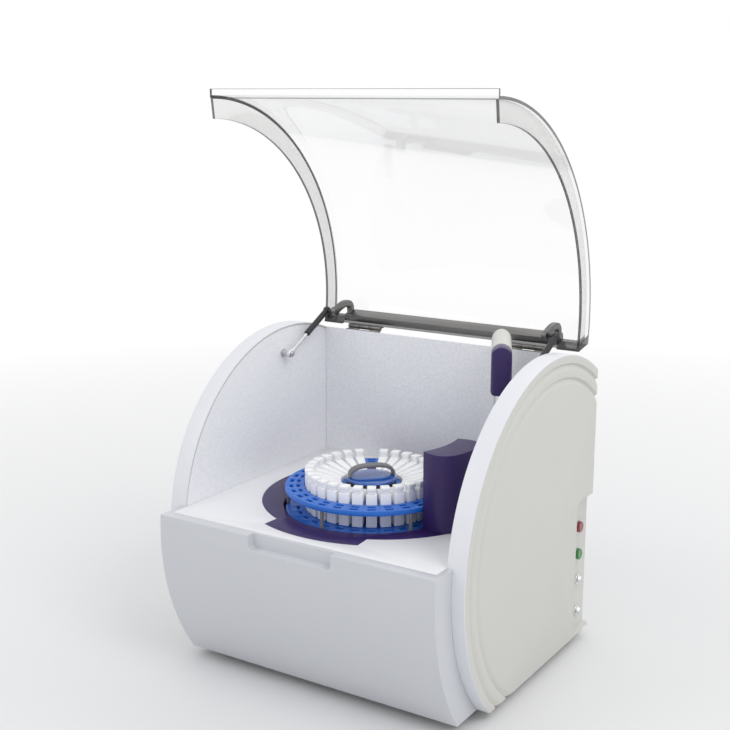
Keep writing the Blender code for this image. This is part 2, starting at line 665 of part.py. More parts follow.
for name, place in zip(("left", "right"), screw_places):
    solid(name + "_rear_screw", turned([
        (REAR_Y - SCREW_LENGTH, SCREW_RADIUS), (REAR_Y + FIT_GAP, SCREW_RADIUS),
        (REAR_Y + FIT_GAP, SCREW_HEAD_RADIUS), (REAR_Y + FIT_GAP + SCREW_HEAD / 2, SCREW_HEAD_RADIUS),
        (REAR_Y + FIT_GAP + SCREW_HEAD, SCREW_HEAD_RADIUS / 2)], place, "Y", SMALL_ROUND_STEPS), STEEL)

# Base pan, feet and deck posts
PAN_EAR_X = COVER_X - WALL - FIT_GAP
pan_outline = [(-PAN_EAR_X, PAN_FRONT_Y), (PAN_EAR_X, PAN_FRONT_Y), (PAN_EAR_X, PAN_EAR_Y),
               (DECK_EDGE_X, PAN_EAR_Y), (DECK_EDGE_X, REAR_Y), (-DECK_EDGE_X, REAR_Y),
               (-DECK_EDGE_X, PAN_EAR_Y), (-PAN_EAR_X, PAN_EAR_Y)]
pan = solid("base_pan", prism(pan_outline, 0, WALL, "Z"), GALVANISED)
flanges = bmesh.new()
for side in (-1, 1):
    span = sorted((mirrored(DECK_EDGE_X, side), mirrored(DECK_EDGE_X - WALL / 2, side)))
    add_box(flanges, (span[0], side_y(WALL) + 2 * WALL, WALL / 2), (span[1], WALL_Y - 2 * WALL, WALL + PAN_FLANGE))
join(pan, guide("pan_flanges", flanges))

for x, side in ((-FOOT_X, "left"), (FOOT_X, "right")):
    for y, end in zip(FOOT_YS, ("front", "rear")):
        solid(end + "_" + side + "_foot", turned([(-FOOT_HEIGHT, FOOT_BOTTOM_RADIUS), (-FIT_GAP, FOOT_TOP_RADIUS)],
                                                 (x, y), "Z", ROUND_STEPS), RUBBER)

posts = bmesh.new()
for x in (-DECK_POST_X, DECK_POST_X):
    for y in DECK_POST_YS:
        add_box(posts, (x - POST_SIZE / 2, y - POST_SIZE / 2, WALL / 2),
                (x + POST_SIZE / 2, y + POST_SIZE / 2, DECK_Z - DECK_THICKNESS - FIT_GAP))
join(pan, guide("deck_posts", posts))

# Lid
LID = empty_at("lid_axis", (0, HINGE_Y, HINGE_Z), ORIGIN)


def lid_point(radius, angle, x):
    """A point of the open lid, measured from the hinge axis."""
    return (x, LID_CENTRE_Y + radius * math.cos(angle) - HINGE_Y,
            LID_CENTRE_Z + radius * math.sin(angle) - HINGE_Z)


def lid_angle(share, radius):
    """How far round a line of the lid is; the flange's foot ends sooner, level with the front cover when closed."""
    start = LID_FLANGE_ANGLE if radius == FLANGE_RADIUS else LID_HINGE_ANGLE
    end = math.pi / 2 - LID_FRONT_RAKE * (LID_RADIUS - radius) / LID_FLANGE / radius
    return start + (end - start) * share


def build_lid():
    bm = bmesh.new()
    roof_radius = LID_RADIUS - LID_SHEET
    inner_x = LID_X - LID_SHEET
    first_share = -LID_HINGE_ANGLE / (math.pi / 2 - LID_HINGE_ANGLE)
    wall_share = LID_SHEET / (LID_RADIUS * (math.pi / 2 - LID_HINGE_ANGLE))
    shares = [0, wall_share, first_share] + [first_share + (1 - first_share) * k / 26 for k in range(1, 27)]
    outer, inner = [], []
    for share in shares:
        deep = FLANGE_RADIUS, lid_angle(share, FLANGE_RADIUS)
        wide = LID_RADIUS, lid_angle(share, LID_RADIUS)
        outer.append([bm.verts.new(lid_point(*deep, -LID_X)), bm.verts.new(lid_point(*wide, -LID_X)),
                      bm.verts.new(lid_point(*wide, LID_X)), bm.verts.new(lid_point(*deep, LID_X))])
        if share > 0:
            roof = roof_radius, lid_angle(share, roof_radius)
            inner.append([bm.verts.new(lid_point(*deep, -inner_x)), bm.verts.new(lid_point(*roof, -inner_x)),
                          bm.verts.new(lid_point(*roof, inner_x)), bm.verts.new(lid_point(*deep, inner_x))])
    for one, two in zip(outer, outer[1:]):
        for k in range(3):
            bm.faces.new((one[k], one[k + 1], two[k + 1], two[k]))
    for one, two in zip(inner, inner[1:]):
        for k in range(3):
            bm.faces.new((one[k], one[k + 1], two[k + 1], two[k]))
    bm.faces.new(outer[0])
    bm.faces.new(inner[0])
    bm.faces.new((outer[0][0], outer[1][0], inner[0][0], inner[0][3], outer[1][3], outer[0][3]))
    for k in (0, 3):
        for index in range(1, len(outer) - 1):
            bm.faces.new((outer[index][k], outer[index + 1][k], inner[index][k], inner[index - 1][k]))
    bm.faces.new(outer[-1] + inner[-1][::-1])
    return bm


lid = solid("lid_sheet", build_lid(), CLEAR, LID)
lid_end_y = LID_CENTRE_Y - HINGE_Y
lid_top_z = LID_CENTRE_Z + LID_RADIUS - HINGE_Z
join(lid, guide("lid_lip", box((-LID_X, lid_end_y - LID_SHEET / 4, lid_top_z - LID_SHEET * 0.8),
                               (LID_X, lid_end_y + LID_SHEET * 0.75, lid_top_z + LID_LIP)), LID))
cut(lid, guide("hinge_relief", box((-BAR_X - NECK_WIDTH - 2 * RUN_GAP, -BAR_FRONT, -BAR_FRONT),
                                   (BAR_X + NECK_WIDTH + 2 * RUN_GAP, BAR_FRONT, BAR_FRONT + LID_SHEET)), LID))

# Hinges: fixed leaves on the body's land, moving leaves under the lid's end wall
def along_slope(start, slope, run, rise):
    return (start[0] + run * math.cos(slope) - rise * math.sin(slope),
            start[1] + run * math.sin(slope) + rise * math.cos(slope))


def slab(start, slope, run_low, run_high, rise_low, rise_high):
    return [along_slope(start, slope, run, rise) for run, rise in
            ((run_low, rise_low), (run_high, rise_low), (run_high, rise_high), (run_low, rise_high))]


def yz(point):
    return (point[1], point[2])


end_low = yz(lid_point(FLANGE_RADIUS, lid_angle(0, FLANGE_RADIUS), 0))
end_high = yz(lid_point(LID_RADIUS, lid_angle(0, LID_RADIUS), 0))
UNDER_SLOPE = math.atan2(end_high[1] - end_low[1], end_high[0] - end_low[0])
wall_share = LID_SHEET / (LID_RADIUS * (math.pi / 2 - LID_HINGE_ANGLE))
seat_low = yz(lid_point(FLANGE_RADIUS, lid_angle(wall_share, FLANGE_RADIUS), 0))
seat_high = yz(lid_point(LID_RADIUS - LID_SHEET, lid_angle(wall_share, LID_RADIUS - LID_SHEET), 0))
SEAT_SLOPE = math.atan2(seat_high[1] - seat_low[1], seat_high[0] - seat_low[0])
KNUCKLE_WIDTH = LEAF_WIDTH / 3
land_start = (WALL_Y, land_top(WALL_Y))
axis_run = ((HINGE_Y - land_start[0]) * math.cos(LAND_SLOPE) + (HINGE_Z - land_start[1]) * math.sin(LAND_SLOPE))
axis_rise = (-(HINGE_Y - land_start[0]) * math.sin(LAND_SLOPE) + (HINGE_Z - land_start[1]) * math.cos(LAND_SLOPE))


def knuckle(bm, moving, low, high):
    """A knuckle: solid on the fixed leaf, which holds the pin, and bored on the moving one."""
    if moving:
        bore = PIN_RADIUS + FIT_GAP
        return add_turned(bm, [(low, bore), (low, KNUCKLE_RADIUS), (high, KNUCKLE_RADIUS), (high, bore)],
                          (0, 0), "X", SMALL_ROUND_STEPS, ring=True)
    return add_turned(bm, [(low, KNUCKLE_RADIUS), (high, KNUCKLE_RADIUS)], (HINGE_Y, HINGE_Z), "X", SMALL_ROUND_STEPS)


def hinge_spans(side, moving):
    starts = (1,) if moving else (0, 2)
    for index in starts:
        low = LEAF_START_X + index * KNUCKLE_WIDTH + FIT_GAP
        yield sorted((mirrored(low, side), mirrored(low + KNUCKLE_WIDTH - 2 * FIT_GAP, side)))


def leaf_web(bm, moving, low, high):
    """The neck that joins a leaf to one of its knuckles."""
    if moving:
        line = slab(end_low, UNDER_SLOPE, PIN_RADIUS + 2 * RUN_GAP - end_low[0], 2 * KNUCKLE_RADIUS,
                    -FIT_GAP - LEAF_THICKNESS * 0.9, -FIT_GAP - LEAF_THICKNESS * 0.1)
    else:
        line = slab(land_start, LAND_SLOPE, axis_run - LEAF_THICKNESS, axis_run + LEAF_THICKNESS,
                    FIT_GAP + LEAF_THICKNESS / 2, axis_rise - PIN_RADIUS - 2 * RUN_GAP)
    add_prism(bm, line, low, high, "X")


for side_name, side in (("left", -1), ("right", 1)):
    span = sorted((mirrored(LEAF_START_X, side), mirrored(LEAF_START_X + LEAF_WIDTH, side)))
    for kind, moving in (("fixed", False), ("moving", True)):
        if moving:
            line = slab(end_low, UNDER_SLOPE, BAR_FRONT - end_low[0], LEAF_DEPTH, -FIT_GAP - LEAF_THICKNESS, -FIT_GAP)
        else:
            line = slab(land_start, LAND_SLOPE, LEAF_THICKNESS, LEAF_DEPTH, FIT_GAP, FIT_GAP + LEAF_THICKNESS)
        webs, rings = bmesh.new(), bmesh.new()
        for low, high in hinge_spans(side, moving):
            leaf_web(webs, moving, low, high)
            knuckle(rings, moving, low, high)
        parent = LID if moving else ORIGIN
        name = side_name + "_" + kind + "_leaf"
        leaf = solid(name, prism(line, *span, "X"), BAR_METAL, parent)
        join(leaf, guide(name + "_webs", webs, parent))
        join(leaf, guide(name + "_knuckles", rings, parent))
        if not moving:
            join(leaf, guide(side_name + "_hinge_pin", turned([
                (span[0] - FIT_GAP, PIN_RADIUS), (span[1] + FIT_GAP, PIN_RADIUS)], (HINGE_Y, HINGE_Z), "X",
                SMALL_ROUND_STEPS)))

bar_outline = slab(seat_low, SEAT_SLOPE, BAR_FRONT - seat_low[0], BAR_FRONT - seat_low[0] + BAR_DEPTH,
                   FIT_GAP, FIT_GAP + BAR_HEIGHT)
soften(solid("hinge_bar", prism(bar_outline, -BAR_X, BAR_X, "X"), BAR_METAL, LID), RUN_GAP)

bar_middle = (sum(p[0] for p in bar_outline) / 4, sum(p[1] for p in bar_outline) / 4)


def bezier(points, share):
    a, b, c, d = (Vector(p) for p in points)
    rest = 1 - share
    return a * rest ** 3 + 3 * b * rest ** 2 * share + 3 * c * rest * share ** 2 + d * share ** 3


def strap_outline(points, thickness, steps):
    """Both edges of a flat strap that follows a curve."""
    line = [bezier(points, k / steps) for k in range(steps + 1)]
    one, two = [], []
    for index, point in enumerate(line):
        ahead = line[min(index + 1, steps)] - line[max(index - 1, 0)]
        normal = Vector((-ahead.y, ahead.x)).normalized() * thickness / 2
        one.append(tuple(point + normal))
        two.append(tuple(point - normal))
    return one + two[::-1]


neck_rise = NECK_TOP[1] * 1.19
neck_curve = (bar_middle, (bar_middle[0] + NECK_TOP[0] / 2, neck_rise), (0, neck_rise), NECK_END)
neck_span = (BAR_X + FIT_GAP, BAR_X + NECK_WIDTH)
for side_name, side in (("left", -1), ("right", 1)):
    span = sorted((mirrored(neck_span[0], side), mirrored(neck_span[1], side)))
    neck = solid(side_name + "_gooseneck", prism(strap_outline(neck_curve, NECK_THICKNESS, 10), *span, "X"),
                 BAR_METAL, LID)
    join(neck, guide(side_name + "_neck_foot", prism(slab(
        seat_low, SEAT_SLOPE, BAR_FRONT - seat_low[0] + RUN_GAP, BAR_FRONT - seat_low[0] + BAR_DEPTH - RUN_GAP,
        FIT_GAP, BAR_HEIGHT), *span, "X"), LID))
    join(neck, guide(side_name + "_neck_eye", turned([(span[0], NECK_EYE_RADIUS), (span[1], NECK_EYE_RADIUS)],
                                                     NECK_END, "X", ROUND_STEPS), LID))

# Gas struts
STRUT_RUN = Vector((HINGE_Y + NECK_END[0] - STUD_Y, HINGE_Z + NECK_END[1] - STUD_Z))
STRUT_LENGTH = STRUT_RUN.length
STRUT_ANGLE = math.atan2(STRUT_RUN.y, STRUT_RUN.x)
for name, side in (("left", -1), ("right", 1)):
    ball_axis = empty_at(name + "_strut_axis", (mirrored(STRUT_X, side), STUD_Y, STUD_Z), ORIGIN)
    ball_axis.rotation_euler = (STRUT_ANGLE, 0, 0)
    shoulder = STRUT_X + EYE_HALF_WIDTH + RUN_GAP
    head = STRUT_X - EYE_HALF_WIDTH - RUN_GAP
    stud_profile = [(CHAMBER_X - FIT_GAP, 2 * STUD_RADIUS), (CHAMBER_X - FIT_GAP - STUD_HEAD, 2 * STUD_RADIUS),
                    (CHAMBER_X - FIT_GAP - STUD_HEAD, STUD_HEAD_RADIUS), (shoulder, STUD_HEAD_RADIUS),
                    (shoulder, STUD_RADIUS), (head, STUD_RADIUS), (head, STUD_HEAD_RADIUS),
                    (head - STUD_HEAD, STUD_HEAD_RADIUS * 0.8)]
    solid(name + "_ball_stud", turned([(mirrored(x, side), r) for x, r in stud_profile], (STUD_Y, STUD_Z), "X",
                                      ROUND_STEPS), STEEL)
    eye_profile = [(-EYE_HALF_WIDTH, STUD_RADIUS + FIT_GAP), (-EYE_HALF_WIDTH, EYE_RADIUS * 0.75),
                   (-EYE_HALF_WIDTH / 2, EYE_RADIUS * 0.95), (0, EYE_RADIUS),
                   (EYE_HALF_WIDTH / 2, EYE_RADIUS * 0.95), (EYE_HALF_WIDTH, EYE_RADIUS * 0.75),
                   (EYE_HALF_WIDTH, STUD_RADIUS + FIT_GAP)]
    rod = solid(name + "_strut_rod", turned(eye_profile, (0, 0), "X", ROUND_STEPS, ring=True), CHROME, ball_axis)
    join(rod, guide(name + "_rod_stem", turned([(STUD_RADIUS + 2 * RUN_GAP, ROD_RADIUS), (ROD_LENGTH, ROD_RADIUS)],
                                               (0, 0), "Y", SMALL_ROUND_STEPS), ball_axis))
    bore_end = STRUT_LENGTH - EYE_RADIUS - TUBE_END_WALL / 2
    tube = solid(name + "_strut_tube", turned([
        (bore_end, 0), (bore_end, TUBE_BORE), (TUBE_START, TUBE_BORE), (TUBE_START, TUBE_RADIUS - RUN_GAP),
        (TUBE_START + RUN_GAP, TUBE_RADIUS), (STRUT_LENGTH - EYE_RADIUS, TUBE_RADIUS),
        (STRUT_LENGTH - EYE_RADIUS / 2, ROD_RADIUS), (STRUT_LENGTH, ROD_RADIUS), (STRUT_LENGTH, 0)],
        (0, 0), "Y", SMALL_ROUND_STEPS), DARK_METAL, ball_axis)
    stud_end = BAR_X + NECK_WIDTH + FIT_GAP - STRUT_X
    pivot_profile = [(-EYE_HALF_WIDTH, EYE_RADIUS * 0.75), (0, EYE_RADIUS), (EYE_HALF_WIDTH, EYE_RADIUS * 0.75)]
    stud_profile = [(stud_end, STUD_RADIUS), (-EYE_HALF_WIDTH, STUD_RADIUS)] + pivot_profile
    join(tube, guide(name + "_tube_pivot", turned([(mirrored(x, side), r) for x, r in stud_profile],
                                                  (STRUT_LENGTH, 0), "X", SMALL_ROUND_STEPS), ball_axis))

# Well, carousel and drive
WELL_PLATE_Z = DECK_Z - WELL_STEP + FIT_GAP
plate_line = [(x, min(y, WALL_Y - FIT_GAP)) for x, y in well_outline(0)]
well = solid("carousel_well", prism(plate_line, WELL_PLATE_Z, WELL_PLATE_Z + WELL_PLATE, "Z"), PURPLE)
join(well, guide("well_cup", turned([(WELL_FLOOR_Z - WALL, WELL_BORE + WALL), (WELL_PLATE_Z + WELL_PLATE / 2,
                                     WELL_BORE + WALL)], (0, CAROUSEL_Y), "Z", LARGE_ROUND_STEPS)))
SHOULDER_RADIUS = SHAFT_RADIUS + WALL
cut(well, guide("well_hollow", turned([
    (WELL_FLOOR_Z - WALL - OVERRUN, SHOULDER_RADIUS + 2 * WALL), (WELL_FLOOR_Z, SHOULDER_RADIUS + 2 * WALL),
    (WELL_FLOOR_Z, WELL_BORE), (DECK_Z + OVERRUN, WELL_BORE)], (0, CAROUSEL_Y), "Z", LARGE_ROUND_STEPS)))

cut(well, guide("well_post_bore", prism(circle((POST_X, POST_Y), POST_RADIUS + RUN_GAP, ROUND_STEPS),
                                        WELL_PLATE_Z - OVERRUN, DECK_Z + OVERRUN, "Z")))

CAROUSEL = empty_at("carousel_axis", (0, CAROUSEL_Y, 0), ORIGIN)
LOWER_TOP_Z = LOWER_DISC_Z + DISC_THICKNESS
STANDING_Z = LOWER_TOP_Z + FIT_GAP
UPPER_TOP_Z = UPPER_DISC_Z + DISC_THICKNESS
place_angles = [FACING_ANGLE + index * 2 * math.pi / PLACES for index in range(PLACES)]
empty_place = PLACES // 2
filled_angles = [angle for index, angle in enumerate(place_angles) if index != empty_place]

lower_disc = solid("lower_disc", turned([(LOWER_DISC_Z, DISC_RADIUS), (LOWER_TOP_Z, DISC_RADIUS)],
                                        (0, 0), "Z", LARGE_ROUND_STEPS), BLUE, CAROUSEL)
lower_cuts = prism(circle((0, 0), HUB_SPIGOT + FIT_GAP, ROUND_STEPS),
                   LOWER_DISC_Z - OVERRUN, LOWER_TOP_Z + OVERRUN, "Z")
upper_disc = solid("upper_disc", turned([(UPPER_DISC_Z, DISC_RADIUS), (UPPER_TOP_Z, DISC_RADIUS)],
                                        (0, 0), "Z", LARGE_ROUND_STEPS), BLUE, CAROUSEL)
upper_cuts = prism(circle((0, 0), HUB_RADIUS + FIT_GAP, MIDDLE_ROUND_STEPS),
                   UPPER_DISC_Z - OVERRUN, UPPER_TOP_Z + OVERRUN, "Z")
for angle in place_angles:
    add_prism(upper_cuts, wedge(angle, SLOT_HALF_ANGLE, BOTTLE_INNER - SLOT_GAP, BOTTLE_OUTER + SLOT_GAP),
              UPPER_DISC_Z - OVERRUN, UPPER_TOP_Z + OVERRUN, "Z")
    for inset, depth in PERF_ROWS:
        inner = DISC_RADIUS - inset
        add_prism(upper_cuts, wedge(angle, PERF_HALF_ANGLE, inner, inner + depth),
                  UPPER_DISC_Z - OVERRUN, UPPER_TOP_Z + OVERRUN, "Z")
cut(lower_disc, guide("lower_disc_cuts", lower_cuts, CAROUSEL))
cut(upper_disc, guide("upper_disc_cuts", upper_cuts, CAROUSEL))

pillars = bmesh.new()
for index in range(PILLAR_COUNT):
    spot = about(PILLAR_ANGLE + index * 2 * math.pi / PILLAR_COUNT, DISC_RADIUS - PILLAR_INSET)
    add_turned(pillars, [(LOWER_TOP_Z - RUN_GAP, PILLAR_RADIUS), (UPPER_DISC_Z - FIT_GAP, PILLAR_RADIUS)],
               spot, "Z", SMALL_ROUND_STEPS)
join(lower_disc, guide("disc_pillars", pillars, CAROUSEL))

SOCKET_TOP_Z = (LOWER_TOP_Z + UPPER_DISC_Z) / 2
solid("carousel_hub", turned([
    (SOCKET_TOP_Z, 0), (SOCKET_TOP_Z, SHAFT_RADIUS + FIT_GAP), (HUB_SPIGOT_Z, SHAFT_RADIUS + FIT_GAP),
    (HUB_SPIGOT_Z, HUB_SPIGOT), (STANDING_Z, HUB_SPIGOT), (STANDING_Z, HUB_RADIUS + HUB_STEP),
    (UPPER_DISC_Z - FIT_GAP, HUB_RADIUS + HUB_STEP), (UPPER_DISC_Z - FIT_GAP, HUB_RADIUS),
    (HUB_TOP_Z, HUB_RADIUS), (HUB_TOP_Z, 0)], (0, 0), "Z", MIDDLE_ROUND_STEPS), BLACK, CAROUSEL)
crown = [(HUB_TOP_Z + FIT_GAP, 0), (HUB_TOP_Z + FIT_GAP, HUB_RADIUS), (HUB_TOP_Z + WALL, HUB_RADIUS)]
crown += [(HUB_TOP_Z + WALL + HUB_CAP_CROWN * math.sin(k * math.pi / 8), HUB_RADIUS * math.cos(k * math.pi / 8))
          for k in range(1, 4)] + [(HUB_TOP_Z + WALL + HUB_CAP_CROWN, 0)]
solid("hub_cap", turned(crown, (0, 0), "Z", MIDDLE_ROUND_STEPS), BLUE, CAROUSEL)

handle_axis = empty_at("handle_axis", (0, 0, HUB_TOP_Z + WALL), CAROUSEL)
handle_axis.rotation_euler = (0, 0, HANDLE_ANGLE)


def arch(half_span, rise, steps):
    """Half a superellipse, from one foot over the top to the other."""
    points = []
    for k in range(steps + 1):
        turn = math.pi * k / steps
        a, b = math.cos(turn), math.sin(turn)
        power = 2 / HANDLE_ROUND_SHARE
        points.append((math.copysign(abs(a) ** power, a) * half_span, abs(b) ** power * rise))
    return points


handle_foot = HUB_CAP_CROWN / 2
handle_line = arch(HANDLE_HALF_SPAN, HANDLE_RISE, 10) + \
    arch(HANDLE_HALF_SPAN - HANDLE_THICKNESS, HANDLE_RISE - HANDLE_THICKNESS, 10)[::-1]
handle = solid("carry_handle", prism([(a, b + handle_foot) for a, b in handle_line], -HANDLE_WIDTH / 2,
                                     HANDLE_WIDTH / 2, "Y"), HANDLE_GREY, handle_axis)
soften(handle, 2 * RUN_GAP)


def bottle(bm, angle):
    """A reagent wedge with a sloped shoulder."""
    side_line = [(BOTTLE_INNER, STANDING_Z), (BOTTLE_OUTER, STANDING_Z), (BOTTLE_OUTER, BOTTLE_SHOULDER_Z),
                 (NECK_BLOCK_INNER, BOTTLE_SHOULDER_Z), (BOTTLE_INNER, BOTTLE_HEEL_Z)]
    flanks = []
    for turn in (-BOTTLE_HALF_ANGLE, BOTTLE_HALF_ANGLE):
        flanks.append([bm.verts.new((*about(angle + turn, radius), z)) for radius, z in side_line])
        bm.faces.new(flanks[-1])
    for index in range(len(side_line)):
        after = (index + 1) % len(side_line)
        bm.faces.new((flanks[0][index], flanks[0][after], flanks[1][after], flanks[1][index]))


def bottle_cap(bm, angle):
    """Square neck block with a slightly wider cap on top."""
    spot = Vector(about(angle, (NECK_BLOCK_INNER + BOTTLE_OUTER) / 2))
    out = Vector((math.cos(angle), math.sin(angle)))
    across = Vector((-out.y, out.x))
    base = BOTTLE_SHOULDER_Z - WALL
    levels = ((base, NECK_BLOCK_HALF), (NECK_BLOCK_Z + CAP_HEIGHT, CAP_HALF))
    loops = []
    for z, half in levels:
        reach = half * (BOTTLE_OUTER - NECK_BLOCK_INNER) / (2 * CAP_HALF)
        loops.append([bm.verts.new((*(spot + out * reach * a + across * half * b), z))
                      for a, b in ((-1, -1), (1, -1), (1, 1), (-1, 1))])
    bm.faces.new(loops[0])
    bm.faces.new(loops[-1])
    for one, two in zip(loops, loops[1:]):
        for k in range(4):
            bm.faces.new((one[k], one[(k + 1) % 4], two[(k + 1) % 4], two[k]))


bottles, caps = bmesh.new(), bmesh.new()
for angle in filled_angles:
    bottle(bottles, angle)
    bottle_cap(caps, angle)
foot_middle = (BOTTLE_INNER + BOTTLE_OUTER) / 2
reagents = solid("reagent_bottles", bottles, BOTTLE_WHITE, CAROUSEL, smooth=False)
join(reagents, guide("bottle_caps", caps, CAROUSEL))
join(reagents, guide("bottle_foot_ring", turned([
    (STANDING_Z, foot_middle - WALL), (STANDING_Z, foot_middle + WALL), (STANDING_Z + WALL / 2, foot_middle + WALL),
    (STANDING_Z + WALL / 2, foot_middle - WALL)], (0, 0), "Z", PLACES, ring=True), CAROUSEL))

# The shaft hangs in the bearing by its shoulder and carries the gear
BEARING_TOP_Z = WELL_FLOOR_Z - WALL - FIT_GAP
solid("carousel_shaft", turned([
    (SHAFT_BOTTOM_Z, SHAFT_RADIUS), (BEARING_TOP_Z + FIT_GAP, SHAFT_RADIUS),
    (BEARING_TOP_Z + FIT_GAP, SHOULDER_RADIUS), (HUB_SPIGOT_Z - FIT_GAP, SHOULDER_RADIUS),
    (HUB_SPIGOT_Z - FIT_GAP, SHAFT_RADIUS), (SOCKET_TOP_Z - FIT_GAP, SHAFT_RADIUS)], (0, 0), "Z", ROUND_STEPS),
    STEEL, CAROUSEL)
bearing_bottom = BEARING_TOP_Z - BEARING_HEIGHT
solid("carousel_bearing", turned([
    (bearing_bottom, SHAFT_RADIUS + FIT_GAP), (bearing_bottom, BEARING_OUTER),
    (BEARING_TOP_Z - WALL, BEARING_OUTER), (BEARING_TOP_Z - WALL, BEARING_FLANGE), (BEARING_TOP_Z, BEARING_FLANGE),
    (BEARING_TOP_Z, SHAFT_RADIUS + FIT_GAP)], (0, CAROUSEL_Y), "Z", ROUND_STEPS, ring=True), BRASS)


def involute(angle):
    return math.tan(angle) - angle


def gear_outline(teeth, phase, centre=(0, 0)):
    """Involute teeth, thinned a little so that they never bind."""
    pitch = GEAR_MODULE * teeth / 2
    base = pitch * math.cos(PRESSURE_ANGLE)
    tip = pitch + GEAR_MODULE * 0.85
    root = pitch - GEAR_MODULE * 1.25
    half = math.pi / (2 * teeth) * (1 - BACKLASH_SHARE)
    flank = []
    for k in range(2):
        radius = max(base, root) + (tip - max(base, root)) * k
        roll = math.acos(min(1, base / radius))
        flank.append((radius, half + involute(PRESSURE_ANGLE) - involute(roll)))
    flank.insert(0, (root, flank[0][1]))
    points = []
    for tooth in range(teeth):
        middle = phase + 2 * math.pi * tooth / teeth
        points += [about(middle - turn, radius, centre) for radius, turn in flank]
        points += [about(middle + turn, radius, centre) for radius, turn in flank[::-1]]
    return points


GEAR_DISTANCE = GEAR_MODULE * (GEAR_TEETH + PINION_TEETH) / 2
gear = solid("carousel_gear", prism(gear_outline(GEAR_TEETH, math.pi / 2), GEAR_Z, GEAR_Z + GEAR_FACE, "Z"),
             BRASS, CAROUSEL)
cut(gear, guide("gear_bore", turned([(GEAR_Z - OVERRUN, SHAFT_RADIUS + FIT_GAP),
                                     (GEAR_Z + GEAR_FACE + OVERRUN, SHAFT_RADIUS + FIT_GAP)],
                                    (0, 0), "Z", ROUND_STEPS), CAROUSEL))
PINION = empty_at("pinion_axis", (0, CAROUSEL_Y + GEAR_DISTANCE, 0), ORIGIN)
pinion_phase = -math.pi / 2 + math.pi / PINION_TEETH
pinion = solid("drive_pinion", prism(gear_outline(PINION_TEETH, pinion_phase), GEAR_Z, GEAR_Z + GEAR_FACE, "Z"),
               STEEL, PINION)
MOTOR_TOP_Z = DRIVE_PLATE_Z - FIT_GAP
join(pinion, guide("pinion_shaft", turned([(MOTOR_TOP_Z - MOTOR_HEIGHT / 3, MOTOR_SHAFT_RADIUS),
                                           (GEAR_Z + GEAR_FACE + RUN_GAP, MOTOR_SHAFT_RADIUS)],
                                          (0, 0), "Z", SMALL_ROUND_STEPS), PINION))

drive_plate = solid("drive_bracket", box(
    (-DRIVE_PLATE_X, CAROUSEL_Y + DRIVE_PLATE_YS[0], DRIVE_PLATE_Z),
    (DRIVE_PLATE_X, CAROUSEL_Y + DRIVE_PLATE_YS[1], DRIVE_PLATE_Z + DRIVE_PLATE)), GALVANISED)
cheeks = bmesh.new()
for side in (-1, 1):
    span = sorted((mirrored(DRIVE_PLATE_X, side), mirrored(DRIVE_PLATE_X - WALL, side)))
    add_box(cheeks, (span[0], CAROUSEL_Y + DRIVE_PLATE_YS[0], DRIVE_PLATE_Z + DRIVE_PLATE / 2),
            (span[1], CAROUSEL_Y + DRIVE_PLATE_YS[1], BEARING_TOP_Z))
join(drive_plate, guide("bracket_cheeks", cheeks))
plate_holes = prism(circle((0, CAROUSEL_Y), SHAFT_RADIUS + RUN_GAP, ROUND_STEPS), DRIVE_PLATE_Z - OVERRUN,
                    DRIVE_PLATE_Z + DRIVE_PLATE + RUN_GAP, "Z")
add_prism(plate_holes, circle((0, CAROUSEL_Y + GEAR_DISTANCE), 2 * MOTOR_SHAFT_RADIUS, ROUND_STEPS),
          DRIVE_PLATE_Z - OVERRUN, DRIVE_PLATE_Z + DRIVE_PLATE + RUN_GAP, "Z")
cut(drive_plate, guide("bracket_holes", plate_holes))
motor = solid("carousel_motor", prism(rounded(
    (-MOTOR_HALF, CAROUSEL_Y + GEAR_DISTANCE - MOTOR_HALF), (MOTOR_HALF, CAROUSEL_Y + GEAR_DISTANCE + MOTOR_HALF),
    WALL), MOTOR_TOP_Z - MOTOR_HEIGHT, MOTOR_TOP_Z, "Z"), BLACK)
motor_hole = circle((0, CAROUSEL_Y + GEAR_DISTANCE), MOTOR_SHAFT_RADIUS + RUN_GAP, SMALL_ROUND_STEPS)
cut(motor, guide("motor_bore", prism(motor_hole, MOTOR_TOP_Z - MOTOR_HEIGHT / 3 - RUN_GAP,
                                     MOTOR_TOP_Z + OVERRUN, "Z")))

# Photometer
WELL_TOP_Z = WELL_PLATE_Z + WELL_PLATE
BLOCK_BASE_Z = WELL_TOP_Z + FIT_GAP
carousel_middle = (0, CAROUSEL_Y)


def block_outline(inset):
    """A rounded block whose inner side follows the discs' rim."""
    inner = DISC_RADIUS + BLOCK_INNER_GAP + inset
    start = BLOCK_START + inset / inner
    end = BLOCK_END - inset / inner
    depth = BLOCK_DEPTH - 2 * inset
    points = [about(start + (end - start) * k / 8, inner, carousel_middle) for k in range(9)]
    for k in range(1, 16):
        share = -math.cos(math.pi * k / 16)
        bulge = (1 - abs(share) ** BLOCK_ROUND_SHARE) ** (1 / BLOCK_ROUND_SHARE)
        points.append(about(end + (start - end) * (1 + share) / 2, inner + depth * bulge, carousel_middle))
    return points


